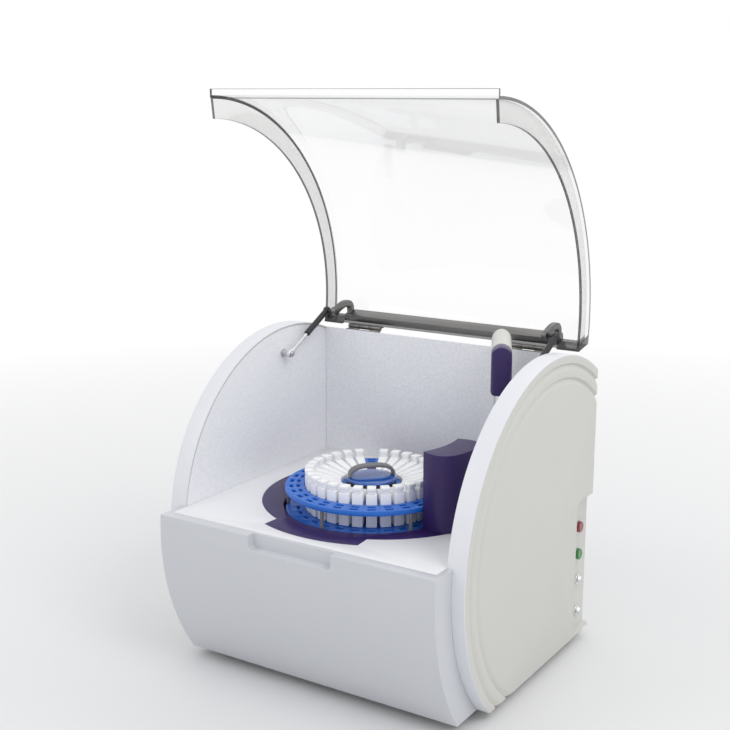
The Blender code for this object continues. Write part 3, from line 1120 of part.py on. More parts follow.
block_mesh = prism(block_outline(0), BLOCK_BASE_Z, BLOCK_TOP_Z, "Z")
top_edges = [edge for edge in block_mesh.edges if all(vert.co.z > BLOCK_TOP_Z - BLOCK_WALL for vert in edge.verts)]
bmesh.ops.bevel(block_mesh, geom=top_edges, offset=BLOCK_EDGE, segments=2, profile=0.5, affect="EDGES")
block_cover = solid("photometer_cover", block_mesh, PURPLE)
cut(block_cover, guide("block_hollow", prism(block_outline(BLOCK_WALL), BLOCK_BASE_Z - OVERRUN,
                                             BLOCK_TOP_Z - BLOCK_WALL - BLOCK_EDGE, "Z")))
block_middle = (BLOCK_START + BLOCK_END) / 2
cut(block_cover, guide("block_window", prism(wedge(
    block_middle, MODULE_SIZE[0] / DISC_RADIUS / 4, DISC_RADIUS - OVERRUN,
    DISC_RADIUS + BLOCK_INNER_GAP + BLOCK_WALL + RUN_GAP, carousel_middle),
    LOWER_TOP_Z + OVERRUN, UPPER_DISC_Z - RUN_GAP, "Z")))
module_inner = DISC_RADIUS + BLOCK_INNER_GAP + BLOCK_WALL + 4 * RUN_GAP
solid("photometer_module", prism(wedge(block_middle, MODULE_SIZE[1] / module_inner / 2, module_inner,
                                       module_inner + MODULE_SIZE[0], carousel_middle),
                                 BLOCK_BASE_Z, BLOCK_BASE_Z + MODULE_SIZE[2], "Z"), BLACK)

# Probe
solid("probe_collar", turned([
    (DECK_Z + FIT_GAP, POST_RADIUS + RUN_GAP), (DECK_Z + FIT_GAP, COLLAR_RADIUS),
    (DECK_Z + COLLAR_HEIGHT / 2, COLLAR_RADIUS), (DECK_Z + COLLAR_HEIGHT, COLLAR_RADIUS - WALL),
    (DECK_Z + COLLAR_HEIGHT, POST_RADIUS + RUN_GAP)], (POST_X, POST_Y), "Z", ROUND_STEPS, ring=True), HANDLE_GREY)
guide_spot = (POST_X - GUIDE_OFFSET, POST_Y)
join(pan, guide("probe_guide_rod", turned([
    (WALL / 2, GUIDE_RADIUS), (DECK_Z - DECK_THICKNESS - FIT_GAP, GUIDE_RADIUS)], guide_spot, "Z", SMALL_ROUND_STEPS)))
CARRIAGE_TOP_Z = CARRIAGE_Z + CARRIAGE_HEIGHT
carriage = solid("probe_carriage", prism(rounded(
    (guide_spot[0] - GUIDE_RADIUS - CARRIAGE_WALL, POST_Y - SWING_MOTOR_HALF - WALL),
    (POST_X + SWING_MOTOR_HALF + WALL, POST_Y + SWING_MOTOR_HALF + WALL), WALL), CARRIAGE_Z, CARRIAGE_TOP_Z, "Z"),
    GALVANISED)
carriage_bores = prism(circle((POST_X, POST_Y), POST_RADIUS + FIT_GAP, ROUND_STEPS), CARRIAGE_Z + RUN_GAP,
                       CARRIAGE_TOP_Z + OVERRUN, "Z")
add_prism(carriage_bores, circle(guide_spot, GUIDE_RADIUS + RUN_GAP, SMALL_ROUND_STEPS), CARRIAGE_Z - OVERRUN,
          CARRIAGE_TOP_Z + OVERRUN, "Z")
cut(carriage, guide("carriage_bores", carriage_bores))
join(carriage, guide("swing_motor", prism(rounded((POST_X - SWING_MOTOR_HALF, POST_Y - SWING_MOTOR_HALF),
                                                  (POST_X + SWING_MOTOR_HALF, POST_Y + SWING_MOTOR_HALF), WALL),
                                         CARRIAGE_Z - SWING_MOTOR_HEIGHT, CARRIAGE_Z + RUN_GAP / 2, "Z")))

PROBE = empty_at("probe_axis", (POST_X, POST_Y, 0), ORIGIN)
PROBE.rotation_euler = (0, 0, ARM_DIRECTION)
POST_SOCKET_Z = ARM_BOTTOM_Z + ARM_HEIGHT / 2
solid("probe_post", turned([
    (CARRIAGE_Z + 2 * RUN_GAP, POST_RADIUS), (CARRIAGE_TOP_Z + FIT_GAP, POST_RADIUS),
    (CARRIAGE_TOP_Z + FIT_GAP, POST_RADIUS + POST_COLLAR),
    (CARRIAGE_TOP_Z + 2 * POST_COLLAR, POST_RADIUS + POST_COLLAR),
    (CARRIAGE_TOP_Z + 2 * POST_COLLAR, POST_RADIUS), (POST_SOCKET_Z - FIT_GAP, POST_RADIUS)], (0, 0), "Z", ROUND_STEPS),
    STEEL, PROBE)


def arm_section():
    """The arm seen end on: a flat underside and a fully round top."""
    half = ARM_WIDTH / 2
    top = ARM_BOTTOM_Z + ARM_HEIGHT - half
    points = arc((0, top), half, 0, math.pi, 12)
    points += arc((-half + ARM_EDGE, ARM_BOTTOM_Z + ARM_EDGE), ARM_EDGE, math.pi, 1.5 * math.pi, 3)
    points += arc((half - ARM_EDGE, ARM_BOTTOM_Z + ARM_EDGE), ARM_EDGE, 1.5 * math.pi, 2 * math.pi, 3)
    return points


def arm_plan():
    half = ARM_WIDTH / 2
    nose = 2 * ARM_EDGE
    points = arc((ARM_REACH - nose, half - nose), nose, math.pi / 2, 0, 5)[::-1]
    points += arc((0, 0), half, math.pi / 2, 1.5 * math.pi, 12)
    points += arc((ARM_REACH - nose, -half + nose), nose, -math.pi / 2, 0, 5)
    return points


arm_split = ARM_REACH - ARM_SPLIT
plan_low, plan_high = ARM_BOTTOM_Z - OVERRUN, ARM_BOTTOM_Z + ARM_HEIGHT + OVERRUN
arm_shell = solid("arm_shell", prism(arm_section(), -ARM_WIDTH, arm_split - FIT_GAP, "X"), WARM_GREY, PROBE)
arm_cover = solid("arm_cover", prism(arm_section(), arm_split, ARM_REACH + OVERRUN, "X"), PURPLE, PROBE)
arm_plan_guide = guide("arm_plan", prism(arm_plan(), plan_low, plan_high, "Z"), PROBE)
combine(arm_shell, arm_plan_guide, "INTERSECT")
combine(arm_cover, arm_plan_guide, "INTERSECT")
cut(arm_shell, guide("post_socket", turned([(ARM_BOTTOM_Z - OVERRUN, POST_RADIUS + FIT_GAP),
                                            (POST_SOCKET_Z, POST_RADIUS + FIT_GAP)], (0, 0), "Z", ROUND_STEPS), PROBE))
NEEDLE_TOP_Z = ARM_BOTTOM_Z + ARM_HEIGHT / 3
cut(arm_cover, guide("needle_socket", turned([(ARM_BOTTOM_Z - OVERRUN, NEEDLE_RADIUS + FIT_GAP),
                                              (NEEDLE_TOP_Z, NEEDLE_RADIUS + FIT_GAP)],
                                             (NEEDLE_REACH, 0), "Z", SMALL_ROUND_STEPS), PROBE))
solid("probe_needle", turned([
    (ARM_BOTTOM_Z - NEEDLE_LENGTH, 0), (ARM_BOTTOM_Z - NEEDLE_LENGTH + 2 * NEEDLE_RADIUS, NEEDLE_RADIUS),
    (NEEDLE_TOP_Z - FIT_GAP, NEEDLE_RADIUS)], (NEEDLE_REACH, 0), "Z", SMALL_ROUND_STEPS), STEEL, PROBE)

# Buttons and fluid fittings in the recess
FLOOR = RECESS_FLOOR_X
for name, z, colour in (("red_button", BUTTON_ZS[0], RED), ("green_button", BUTTON_ZS[1], GREEN)):
    axis = empty_at(name + "_axis", (FLOOR, BUTTON_Y, z), ORIGIN)
    cap_base = BUTTON_STROKE + RUN_GAP
    solid(name, turned([(-SIDE_SKIN - BUTTON_STEM, BUTTON_STEM), (cap_base, BUTTON_STEM), (cap_base, BUTTON_RADIUS),
                        (cap_base + BUTTON_HEIGHT * 0.7, BUTTON_RADIUS), (cap_base + BUTTON_HEIGHT, BUTTON_RADIUS * 0.85)],
                       (0, 0), "X", ROUND_STEPS), colour, axis)
bezels, switches = bmesh.new(), bmesh.new()
switch_face = FLOOR - SIDE_SKIN - BUTTON_STEM - BUTTON_STROKE - RUN_GAP
for z in BUTTON_ZS:
    add_turned(bezels, [(FLOOR - FIT_GAP, BUTTON_RADIUS + RUN_GAP), (FLOOR - FIT_GAP, BEZEL_RADIUS),
                        (FLOOR + BEZEL_HEIGHT, BEZEL_RADIUS),
                        (FLOOR + BEZEL_HEIGHT, BUTTON_RADIUS + RUN_GAP)], (BUTTON_Y, z), "X", ROUND_STEPS, ring=True)
    add_prism(switches, rounded((BUTTON_Y - BUTTON_RADIUS, z - BUTTON_RADIUS), (BUTTON_Y + BUTTON_RADIUS,
                                z + BUTTON_RADIUS), RIM_SOFT_EDGE), CHAMBER_X + WALL + FIT_GAP, switch_face, "X")
join(right_cover, guide("button_bezels", bezels))
switch_board = solid("switch_board", box(
    (CHAMBER_X + WALL + FIT_GAP, BUTTON_Y - 2 * BUTTON_RADIUS, BUTTON_ZS[1] - 2 * BUTTON_RADIUS),
    (CHAMBER_X + WALL + FIT_GAP + BOARD_THICKNESS, BUTTON_Y + 2 * BUTTON_RADIUS, BUTTON_ZS[0] + 2 * BUTTON_RADIUS)),
    BOARD_GREEN)
join(switch_board, guide("switch_bodies", switches))
for name, z in zip(("upper_fitting", "lower_fitting"), FITTING_ZS):
    solid(name, turned([
        (FLOOR - SIDE_SKIN, FITTING_BORE), (FLOOR - SIDE_SKIN, FITTING_RADIUS / 2),
        (FLOOR + FIT_GAP, FITTING_RADIUS / 2), (FLOOR + FIT_GAP, FITTING_RADIUS),
        (FLOOR + FITTING_LENGTH / 3, FITTING_RADIUS), (FLOOR + FITTING_LENGTH / 3, FITTING_RADIUS * 0.55),
        (FLOOR + FITTING_LENGTH * 0.6, FITTING_RADIUS * 0.55), (FLOOR + FITTING_LENGTH * 0.6, FITTING_RADIUS * 0.7),
        (FLOOR + FITTING_LENGTH, FITTING_RADIUS * 0.45), (FLOOR + FITTING_LENGTH, FITTING_BORE)],
        (FITTING_Y, z), "X", ROUND_STEPS, ring=True), CHROME)

# Fan and power inlet on the rear panel
fan_rear = REAR_Y - WALL - FIT_GAP
fan_front = fan_rear - FAN_DEPTH
fan_frame = solid("fan_frame", prism(rounded((FAN_X - FAN_SIZE / 2, FAN_Z - FAN_SIZE / 2),
                                             (FAN_X + FAN_SIZE / 2, FAN_Z + FAN_SIZE / 2), WALL), fan_front,
                                     fan_rear, "Y"), BLACK)
stator_depth = FAN_DEPTH / 5
cut(fan_frame, guide("fan_bore", prism(circle((FAN_X, FAN_Z), FAN_BORE, MIDDLE_ROUND_STEPS), fan_front - OVERRUN,
                                       fan_rear + OVERRUN, "Y")))
stator = bmesh.new()
add_box(stator, (FAN_X - FAN_BORE - WALL / 2, fan_front, FAN_Z - WALL), (FAN_X + FAN_BORE + WALL / 2,
                                                                         fan_front + WALL, FAN_Z + WALL))
join(fan_frame, guide("fan_stator_arm", stator))
join(fan_frame, guide("fan_stator", turned([(fan_front + RUN_GAP, FAN_HUB), (fan_front + stator_depth, FAN_HUB)],
                                           (FAN_X, FAN_Z), "Y", ROUND_STEPS)))
FAN = empty_at("fan_axis", (FAN_X, fan_rear - FAN_DEPTH / 2, FAN_Z), ORIGIN)
rotor_low = -FAN_DEPTH / 2 + stator_depth + RUN_GAP
rotor_high = FAN_DEPTH / 2 - RUN_GAP
rotor = solid("fan_rotor", turned([(rotor_low, FAN_HUB), (rotor_high, FAN_HUB)], (0, 0), "Y", ROUND_STEPS), BLACK, FAN)
blades = bmesh.new()
for index in range(FAN_BLADES):
    turn = 2 * math.pi * index / FAN_BLADES
    loops = []
    for radius, twist in ((FAN_HUB - WALL, math.radians(50)), (FAN_BORE - 2 * RUN_GAP - WALL / 2, math.radians(28))):
        chord, thick = FAN_DEPTH * 0.55, WALL / 4
        corners = []
        for a, b in ((-1, -1), (1, -1), (1, 1), (-1, 1)):
            across = a * chord / 2 * math.cos(twist) - b * thick * math.sin(twist)
            along = a * chord / 2 * math.sin(twist) + b * thick * math.cos(twist)
            along += (rotor_low + rotor_high) / 2
            x = radius * math.cos(turn) - across * math.sin(turn)
            z = radius * math.sin(turn) + across * math.cos(turn)
            corners.append(blades.verts.new((x, along, z)))
        loops.append(corners)
    blades.faces.new(loops[0])
    blades.faces.new(loops[1])
    for k in range(4):
        blades.faces.new((loops[0][k], loops[0][(k + 1) % 4], loops[1][(k + 1) % 4], loops[1][k]))
join(rotor, guide("fan_blades", blades, FAN))

inlet = solid("power_inlet", prism(rounded((INLET_X - INLET_WIDTH / 2, INLET_Z - INLET_HEIGHT / 2),
                                           (INLET_X + INLET_WIDTH / 2, INLET_Z + INLET_HEIGHT / 2), WALL / 3),
                                   REAR_Y - INLET_WIDTH, REAR_Y, "Y"), BLACK)
socket = prism(rounded((INLET_X - INLET_WIDTH / 2 + WALL, INLET_Z - INLET_HEIGHT / 2 + WALL),
                       (INLET_X + INLET_WIDTH / 2 - WALL, INLET_Z + INLET_HEIGHT / 6), WALL / 3),
               REAR_Y - INLET_WIDTH + 2 * WALL, REAR_Y + OVERRUN, "Y")
cut(inlet, guide("inlet_socket", socket))
prongs = bmesh.new()
for a, b in ((-0.22, -0.26), (0.22, -0.26), (0, -0.06)):
    x, z = INLET_X + a * INLET_WIDTH, INLET_Z + b * INLET_HEIGHT
    add_box(prongs, (x - WALL / 3, REAR_Y - INLET_WIDTH + WALL, z - WALL / 2),
            (x + WALL / 3, REAR_Y - 2 * WALL, z + WALL / 2))
join(inlet, guide("inlet_prongs", prongs))

# Power supply and circuit board on the base pan
PAN_TOP = WALL + FIT_GAP
solid("power_supply", box((SUPPLY_PLACE[0] - SUPPLY_SIZE[0] / 2, SUPPLY_PLACE[1] - SUPPLY_SIZE[1] / 2, PAN_TOP),
                          (SUPPLY_PLACE[0] + SUPPLY_SIZE[0] / 2, SUPPLY_PLACE[1] + SUPPLY_SIZE[1] / 2,
                           PAN_TOP + SUPPLY_SIZE[2])), GALVANISED)
board_z = PAN_TOP + BOARD_STANDOFF + FIT_GAP
board = solid("circuit_board", block((*BOARD_PLACE, board_z + BOARD_THICKNESS / 2), (*BOARD_SIZE, BOARD_THICKNESS)),
              BOARD_GREEN)
chips = bmesh.new()
for a, b in ((-0.28, 0.22), (0.05, 0.22), (0.30, -0.20), (-0.12, -0.24)):
    middle = (BOARD_PLACE[0] + a * BOARD_SIZE[0], BOARD_PLACE[1] + b * BOARD_SIZE[1])
    add_box(chips, (middle[0] - CHIP_SIZE[0] / 2, middle[1] - CHIP_SIZE[1] / 2, board_z + BOARD_THICKNESS / 2),
            (middle[0] + CHIP_SIZE[0] / 2, middle[1] + CHIP_SIZE[1] / 2, board_z + BOARD_THICKNESS + CHIP_SIZE[2]))
join(board, guide("board_chips", chips))
standoffs = bmesh.new()
for a in (-1, 1):
    for b in (-1, 1):
        spot = [place + sign * (size / 2 - 2 * WALL) for place, sign, size in zip(BOARD_PLACE, (a, b), BOARD_SIZE)]
        add_turned(standoffs, [(WALL / 2, WALL), (PAN_TOP + BOARD_STANDOFF, WALL)], spot, "Z", SMALL_ROUND_STEPS)
join(pan, guide("board_standoffs", standoffs))
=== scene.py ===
import math

import bmesh
import bpy
from mathutils import Matrix, Vector


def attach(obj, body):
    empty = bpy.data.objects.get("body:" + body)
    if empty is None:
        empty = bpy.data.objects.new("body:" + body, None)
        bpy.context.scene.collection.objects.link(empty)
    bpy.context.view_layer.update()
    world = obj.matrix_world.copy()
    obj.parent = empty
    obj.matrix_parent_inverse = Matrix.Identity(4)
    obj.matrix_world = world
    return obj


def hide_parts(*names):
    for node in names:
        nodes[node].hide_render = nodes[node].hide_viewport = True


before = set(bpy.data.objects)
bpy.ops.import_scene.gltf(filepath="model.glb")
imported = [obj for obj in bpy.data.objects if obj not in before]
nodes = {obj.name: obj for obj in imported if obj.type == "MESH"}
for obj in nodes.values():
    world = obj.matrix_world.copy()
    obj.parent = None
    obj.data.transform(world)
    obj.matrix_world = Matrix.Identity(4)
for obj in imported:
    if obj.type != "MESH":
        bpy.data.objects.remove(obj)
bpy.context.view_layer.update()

mm = 0.001
# The housing's middle and underside, seen from the origin on the bench
stand = {"back": 79.5 * mm, "up": 14 * mm}
toBench = Matrix.Translation((0, stand["back"], stand["up"]))
print("frame loaded:", len(nodes), "solids")


# Shader sums: a wire carries one socket's value and can be added, multiplied and so on
class Wire:
    def __init__(self, tree, socket=None):
        self.tree = tree
        self.socket = socket

    def make(self, kind, settings=None, values=None, out=0):
        made = self.tree.nodes.new(kind)
        for key, value in (settings or {}).items():
            if key == "stops":
                ramp = made.color_ramp
                while len(ramp.elements) < len(value):
                    ramp.elements.new(0.5)
                for stop, (place, colour) in zip(ramp.elements, value):
                    stop.position = place
                    stop.color = (*colour, 1)
            else:
                setattr(made, key, value)
        for key, value in (values or {}).items():
            if isinstance(value, Wire):
                self.tree.links.new(value.socket, made.inputs[key])
            else:
                made.inputs[key].default_value = value
        return Wire(self.tree, made.outputs[out])

    def sum(self, operation, first, second):
        return self.make("ShaderNodeMath", {"operation": operation}, {0: first, 1: second})

    def __add__(self, other):
        return self.sum("ADD", self, other)

    def __radd__(self, other):
        return self.sum("ADD", other, self)

    def __mul__(self, other):
        return self.sum("MULTIPLY", self, other)

    def __rmul__(self, other):
        return self.sum("MULTIPLY", other, self)

    def between(self, low, high):
        return self.make("ShaderNodeMapRange", {"clamp": True}, {"Value": self, "From Min": low,
            "From Max": high})

    def blend(self, first, second):
        return self.make("ShaderNodeMix", {"data_type": "RGBA"}, {"Factor": self, 6: first, 7: second}, 2)


def blankFinish(name, look):
    material = bpy.data.materials.new(name)
    material.use_nodes = True
    tree = material.node_tree
    shader = tree.nodes["Principled BSDF"]
    shader.inputs["Base Color"].default_value = (*look["colour"], 1)
    shader.inputs["Roughness"].default_value = look["roughness"]
    shader.inputs["Metallic"].default_value = look.get("metallic", 0)
    shader.inputs["Coat Weight"].default_value = look.get("coat", 0)
    shader.inputs["Coat Roughness"].default_value = look.get("coatRoughness", 0.1)
    shader.inputs["Specular IOR Level"].default_value = look.get("specular", 0.5)
    return material, tree, shader


def spread(tree, stretch=(1, 1, 1)):
    wire = Wire(tree)
    seat = wire.make("ShaderNodeTexCoord", out="Object")
    return wire.make("ShaderNodeMapping", {}, {"Vector": seat, "Scale": stretch})


def noise(at, scale, detail=2.0, rough=0.5):
    return at.make("ShaderNodeTexNoise", {}, {"Vector": at, "Scale": scale, "Detail": detail,
        "Roughness": rough})


def feed(tree, shader, key, wire):
    tree.links.new(wire.socket, shader.inputs[key])


def grainBump(tree, shader, height, depth, distance):
    bump = height.make("ShaderNodeBump", {}, {"Strength": depth, "Distance": distance, "Height": height})
    feed(tree, shader, "Normal", bump)


def mouldedFinish(name, look):                      # plastic with a fine moulded grain and a slight mottle
    material, tree, shader = blankFinish(name, look)
    at = spread(tree)
    mottle = noise(at, look.get("mottleScale", 9), 3).between(0.3, 0.7)
    fine = noise(at, look.get("grainScale", 900), 2)
    darker = tuple(c * (1 - look.get("mottle", 0.04)) for c in look["colour"])
    feed(tree, shader, "Base Color", mottle.blend((*darker, 1), (*look["colour"], 1)))
    feed(tree, shader, "Roughness", fine.between(0.2, 0.8) * look.get("roughSpread",
        0.08) + (look["roughness"] - 0.04))
    grainBump(tree, shader, fine, look.get("grain", 0.15), look.get("grainDepth", 0.0002))
    return material


def speckledFinish(name, look):                     # sprayed coat with fine pale and grey specks
    material, tree, shader = blankFinish(name, look)
    at = spread(tree)
    fine = noise(at, look["speckScale"], 3, 0.65)
    pale = fine.between(0.50, 0.66)
    grey = fine.between(0.50, 0.34)
    body = grey.blend((*look["colour"], 1), (*look["speckDark"], 1))
    feed(tree, shader, "Base Color", pale.blend(body, (*look["speckPale"], 1)))
    grainBump(tree, shader, fine, look["grain"], 0.0004)
    return material


def brushedFinish(name, look):                      # metal drawn along one axis
    material, tree, shader = blankFinish(name, look)
    at = spread(tree, look.get("stretch", (4, 400, 400)))
    lines = noise(at, 1.5, 3, 0.6)
    bright = tuple(min(1, c * 1.12) for c in look["colour"])
    dull = tuple(c * 0.86 for c in look["colour"])
    feed(tree, shader, "Base Color", lines.between(0.3, 0.7).blend((*dull, 1), (*bright, 1)))
    feed(tree, shader, "Roughness", lines.between(0.2, 0.8) * 0.18 + (look["roughness"] - 0.06))
    grainBump(tree, shader, lines, look.get("grain", 0.08), 0.0001)
    return material


def castFinish(name, look):                         # zinc and brass with a soft crystalline patch pattern
    material, tree, shader = blankFinish(name, look)
    at = spread(tree)
    patch = at.make("ShaderNodeTexVoronoi", {}, {"Vector": at, "Scale": look.get("patchScale", 120)},
        "Color")
    tone = patch.make("ShaderNodeSeparateColor", {}, {"Color": patch}, 0)
    dull = tuple(c * 0.8 for c in look["colour"])
    feed(tree, shader, "Base Color", tone.blend((*dull, 1), (*look["colour"], 1)))
    feed(tree, shader, "Roughness", tone * 0.15 + look["roughness"])
    return material


finishes = {
    "sideGrey": {"colour": (0.63, 0.63, 0.60), "roughness": 0.42, "mottle": 0.015, "grain": 0.10,
        "grainScale": 1400},
    "frontWhite": {"colour": (0.60, 0.615, 0.655), "roughness": 0.36, "mottle": 0.012, "grain": 0.08,
        "grainScale": 1400,
                   "coat": 0.15, "coatRoughness": 0.25},
    "deckWhite": {"colour": (0.82, 0.825, 0.85), "roughness": 0.40, "mottle": 0.015, "grain": 0.08,
                  "grainScale": 1300},
    "rimWhite": {"colour": (0.76, 0.775, 0.82), "roughness": 0.38, "mottle": 0.012, "grain": 0.08,
        "grainScale": 1400},
    "purple": {"colour": (0.026, 0.010, 0.092), "roughness": 0.38, "mottle": 0.10, "grain": 0.10,
        "grainScale": 1500,
               "coat": 0.10, "coatRoughness": 0.25, "specular": 0.35},
    "discBlue": {"colour": (0.005, 0.135, 0.60), "roughness": 0.34, "mottle": 0.06, "grain": 0.04,
        "coat": 0.12,
                 "coatRoughness": 0.12},
    "bottleWhite": {"colour": (0.93, 0.935, 0.95), "roughness": 0.38, "mottle": 0.03, "mottleScale": 60,
        "grain": 0.05,
                    "coat": 0.15, "coatRoughness": 0.25},
    "handleGrey": {"colour": (0.17, 0.17, 0.185), "roughness": 0.42, "mottle": 0.05, "grain": 0.12},
    "arcBlack": {"colour": (0.012, 0.012, 0.014), "roughness": 0.42, "mottle": 0.10, "grain": 0.15},
    "rubber": {"colour": (0.010, 0.010, 0.011), "roughness": 0.78, "mottle": 0.25, "mottleScale": 90,
        "grain": 0.45,
               "grainScale": 700},
    "redCap": {"colour": (0.24, 0.018, 0.030), "roughness": 0.25, "mottle": 0.06, "grain": 0.03,
        "coat": 0.5},
    "greenCap": {"colour": (0.030, 0.22, 0.045), "roughness": 0.25, "mottle": 0.06, "grain": 0.03,
        "coat": 0.5},
    "boardGreen": {"colour": (0.015, 0.13, 0.055), "roughness": 0.45, "mottle": 0.35, "mottleScale": 140,
        "grain": 0.2},
}
moulded = {name: mouldedFinish(name, look) for name, look in finishes.items()}
wallCoat = speckledFinish("wallCoat", {
    "colour": (0.86, 0.87, 0.91), "speckDark": (0.76, 0.77, 0.82), "speckPale": (0.93, 0.93, 0.95),
    "speckScale": 560, "roughness": 0.5, "grain": 0.10})
metals = {
    "barMetal": brushedFinish("barMetal", {"colour": (0.19, 0.185, 0.18), "roughness": 0.34,
        "metallic": 1.0}),
    "steel": brushedFinish("steel", {"colour": (0.56, 0.56, 0.57), "roughness": 0.24, "metallic": 1.0}),
    "chrome": brushedFinish("chrome", {"colour": (0.78, 0.78, 0.80), "roughness": 0.12, "metallic": 1.0,
        "grain": 0.02}),
    "darkTube": brushedFinish("darkTube", {"colour": (0.05, 0.05, 0.054), "roughness": 0.33,
        "metallic": 0.7}),
    "zinc": castFinish("zinc", {"colour": (0.55, 0.56, 0.57), "roughness": 0.30, "metallic": 1.0}),
    "brass": castFinish("brass", {"colour": (0.58, 0.44, 0.18), "roughness": 0.22, "metallic": 1.0}),
}


def clearFinish(name, look):                        # a clear sheet: it mirrors a little, more at a slant
    material, tree, shader = blankFinish(name, look)
    at = spread(tree)
    slant = at.make("ShaderNodeLayerWeight", {}, {"Blend": look["slantBlend"]}, "Fresnel")
    haze = noise(at, 30, 2).between(0.3, 0.7) * look["haze"]
    feed(tree, shader, "Alpha", slant * look["slantGain"] + haze + look["faceOn"])
    feed(tree, shader, "Roughness", haze + look["roughness"])
    return material


lidLook = {"colour": (0.96, 0.965, 0.97), "roughness": 0.02, "metallic": 1.0, "slantBlend": 0.16,
    "slantGain": 0.32, "haze": 0.008, "faceOn": 0.022}
clearSheet = clearFinish("clearSheet", lidLook)
# Painted shade: a dark, nearly opaque finish for the lid's cut edges, in place of the dark look that light
# gives the edges of thick clear acrylic
edgeShadeLook = {"colour": (0.035, 0.036, 0.036), "roughness": 0.15, "slantBlend": 0.3, "slantGain": 0.2,
    "haze": 0.05, "faceOn": 0.80}
paintedEdgeShade = clearFinish("paintedEdgeShade", edgeShadeLook)
flangeLook = {"colour": (0.72, 0.72, 0.70), "roughness": 0.08, "slantBlend": 0.2, "slantGain": 0.3,
    "haze": 0.02, "faceOn": 0.16}
clearFlange = clearFinish("clearFlange", flangeLook)
print("finishes made:", len(bpy.data.materials))


# Mesh helpers, all in housing coordinates: x right, y from the round sides' middle, z from the underside
def arc(centre, radius, start, end, steps):
    return [(centre[0] + radius * math.cos(start + (end - start) * k / steps),
        centre[1] + radius * math.sin(start + (end - start) * k / steps)) for k in range(steps + 1)]


def circle(centre, radius, steps):
    return arc(centre, radius, 0, 2 * math.pi, steps)[:-1]


def rectangle(low, high):
    return [(low[0], low[1]), (high[0], low[1]), (high[0], high[1]), (low[0], high[1])]


def roundedBox(low, high, radius, steps=6):
    corners = ((high[0] - radius, high[1] - radius, 0), (low[0] + radius, high[1] - radius, 1),
        (low[0] + radius, low[1] + radius, 2), (high[0] - radius, low[1] + radius, 3))
    points = []
    for a, b, quarter in corners:
        points += arc((a, b), radius, quarter * math.pi / 2, (quarter + 1) * math.pi / 2, steps)
    return points


def onAxis(axis, a, b, along):
    return {"X": (along, a, b), "Y": (a, along, b), "Z": (a, b, along)}[axis]


def addPrism(bm, outline, low, high, axis):
    near = [bm.verts.new(onAxis(axis, a, b, low)) for a, b in outline]
    far = [bm.verts.new(onAxis(axis, a, b, high)) for a, b in outline]
    bm.faces.new(near)
    bm.faces.new(far)
    for index in range(len(outline)):
        after = (index + 1) % len(outline)
        bm.faces.new((near[index], near[after], far[after], far[index]))
    return bm


def prism(outline, low, high, axis):
    return addPrism(bmesh.new(), outline, low, high, axis)


def addTurned(bm, profile, centre, axis, steps, closed=False):
    loops = []
    for along, radius in profile:
        if radius == 0:
            loops.append([bm.verts.new(onAxis(axis, *centre, along))])
        else:
            loops.append([bm.verts.new(onAxis(axis, a, b, along)) for a,
                b in circle(centre, radius, steps)])
    pairs = list(zip(loops, loops[1:] + loops[:1])) if closed else list(zip(loops, loops[1:]))
    for one, two in pairs:
        for index in range(steps):
            after = (index + 1) % steps
            ring = [one[index % len(one)], one[after % len(one)], two[after % len(two)],
                two[index % len(two)]]
            bm.faces.new(list(dict.fromkeys(ring)))
    if not closed:
        for loop in (loops[0], loops[-1]):
            if len(loop) > 1:
                bm.faces.new(loop)
    return bm


def turned(profile, centre, axis, steps=64, closed=False):
    return addTurned(bmesh.new(), profile, centre, axis, steps, closed)


def meshObject(name, bm):
    mesh = bpy.data.meshes.new(name)
    bm.to_mesh(mesh)
    bm.free()
    made = bpy.data.objects.new(name, mesh)
    bpy.context.scene.collection.objects.link(made)
    return made


def rawObject(name, bm, turn=None):
    bm.transform(toBench @ (turn or Matrix.Identity(4)))
    bmesh.ops.recalc_face_normals(bm, faces=bm.faces)
    return meshObject(name, bm)


def settle(made):                                   # bakes the modifiers that are on it into its mesh
    graph = bpy.context.evaluated_depsgraph_get()
    fresh = bpy.data.meshes.new_from_object(made.evaluated_get(graph))
    made.modifiers.clear()
    made.data = fresh
    return made


def carve(made, bm, operation="DIFFERENCE", turn=None, solver="EXACT"):
    tool = rawObject("carver", bm, turn)
    change = made.modifiers.new("carve", "BOOLEAN")
    change.operation = operation
    change.solver = solver
    change.object = tool
    settle(made)
    bpy.data.objects.remove(tool, do_unlink=True)
    return made


def dress(made, material, body, stands=(), bevel=0, steps=2, angle=32, smooth=32):
    made.data.materials.clear()
    made.data.materials.append(material)
    made.data.shade_smooth()
    if bevel:
        edge = made.modifiers.new("softEdge", "BEVEL")
        edge.width = bevel
        edge.segments = steps
        edge.limit_method = "ANGLE"
        edge.angle_limit = math.radians(angle)
        edge.use_clamp_overlap = True
        edge.miter_outer = "MITER_ARC"
        settle(made)
        made.data.shade_smooth()
    made.data.set_sharp_from_angle(angle=math.radians(smooth))
    if stands:
        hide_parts(*([stands] if isinstance(stands, str) else stands))
    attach(made, body)
    return made


def build(name, bm, material, body, stands=(), turn=None, **rest):
    return dress(rawObject(name, bm, turn), material, body, stands, **rest)


# The solid itself, with its loose triangles merged and its edges softened
def refined(name, node, material, body, bevel=0.4 * mm, **rest):
    bm = bmesh.new()
    bm.from_mesh(nodes[node].data)
    bmesh.ops.remove_doubles(bm, verts=bm.verts, dist=0.01 * mm)
    bmesh.ops.dissolve_limit(bm, angle_limit=math.radians(1), verts=bm.verts, edges=bm.edges)
    return dress(meshObject(name, bm), material, body, node, bevel=bevel, **rest)


def repaint(material, *names):
    for name in names:
        mesh = nodes[name].data
        mesh.materials.clear()
        mesh.materials.append(material)


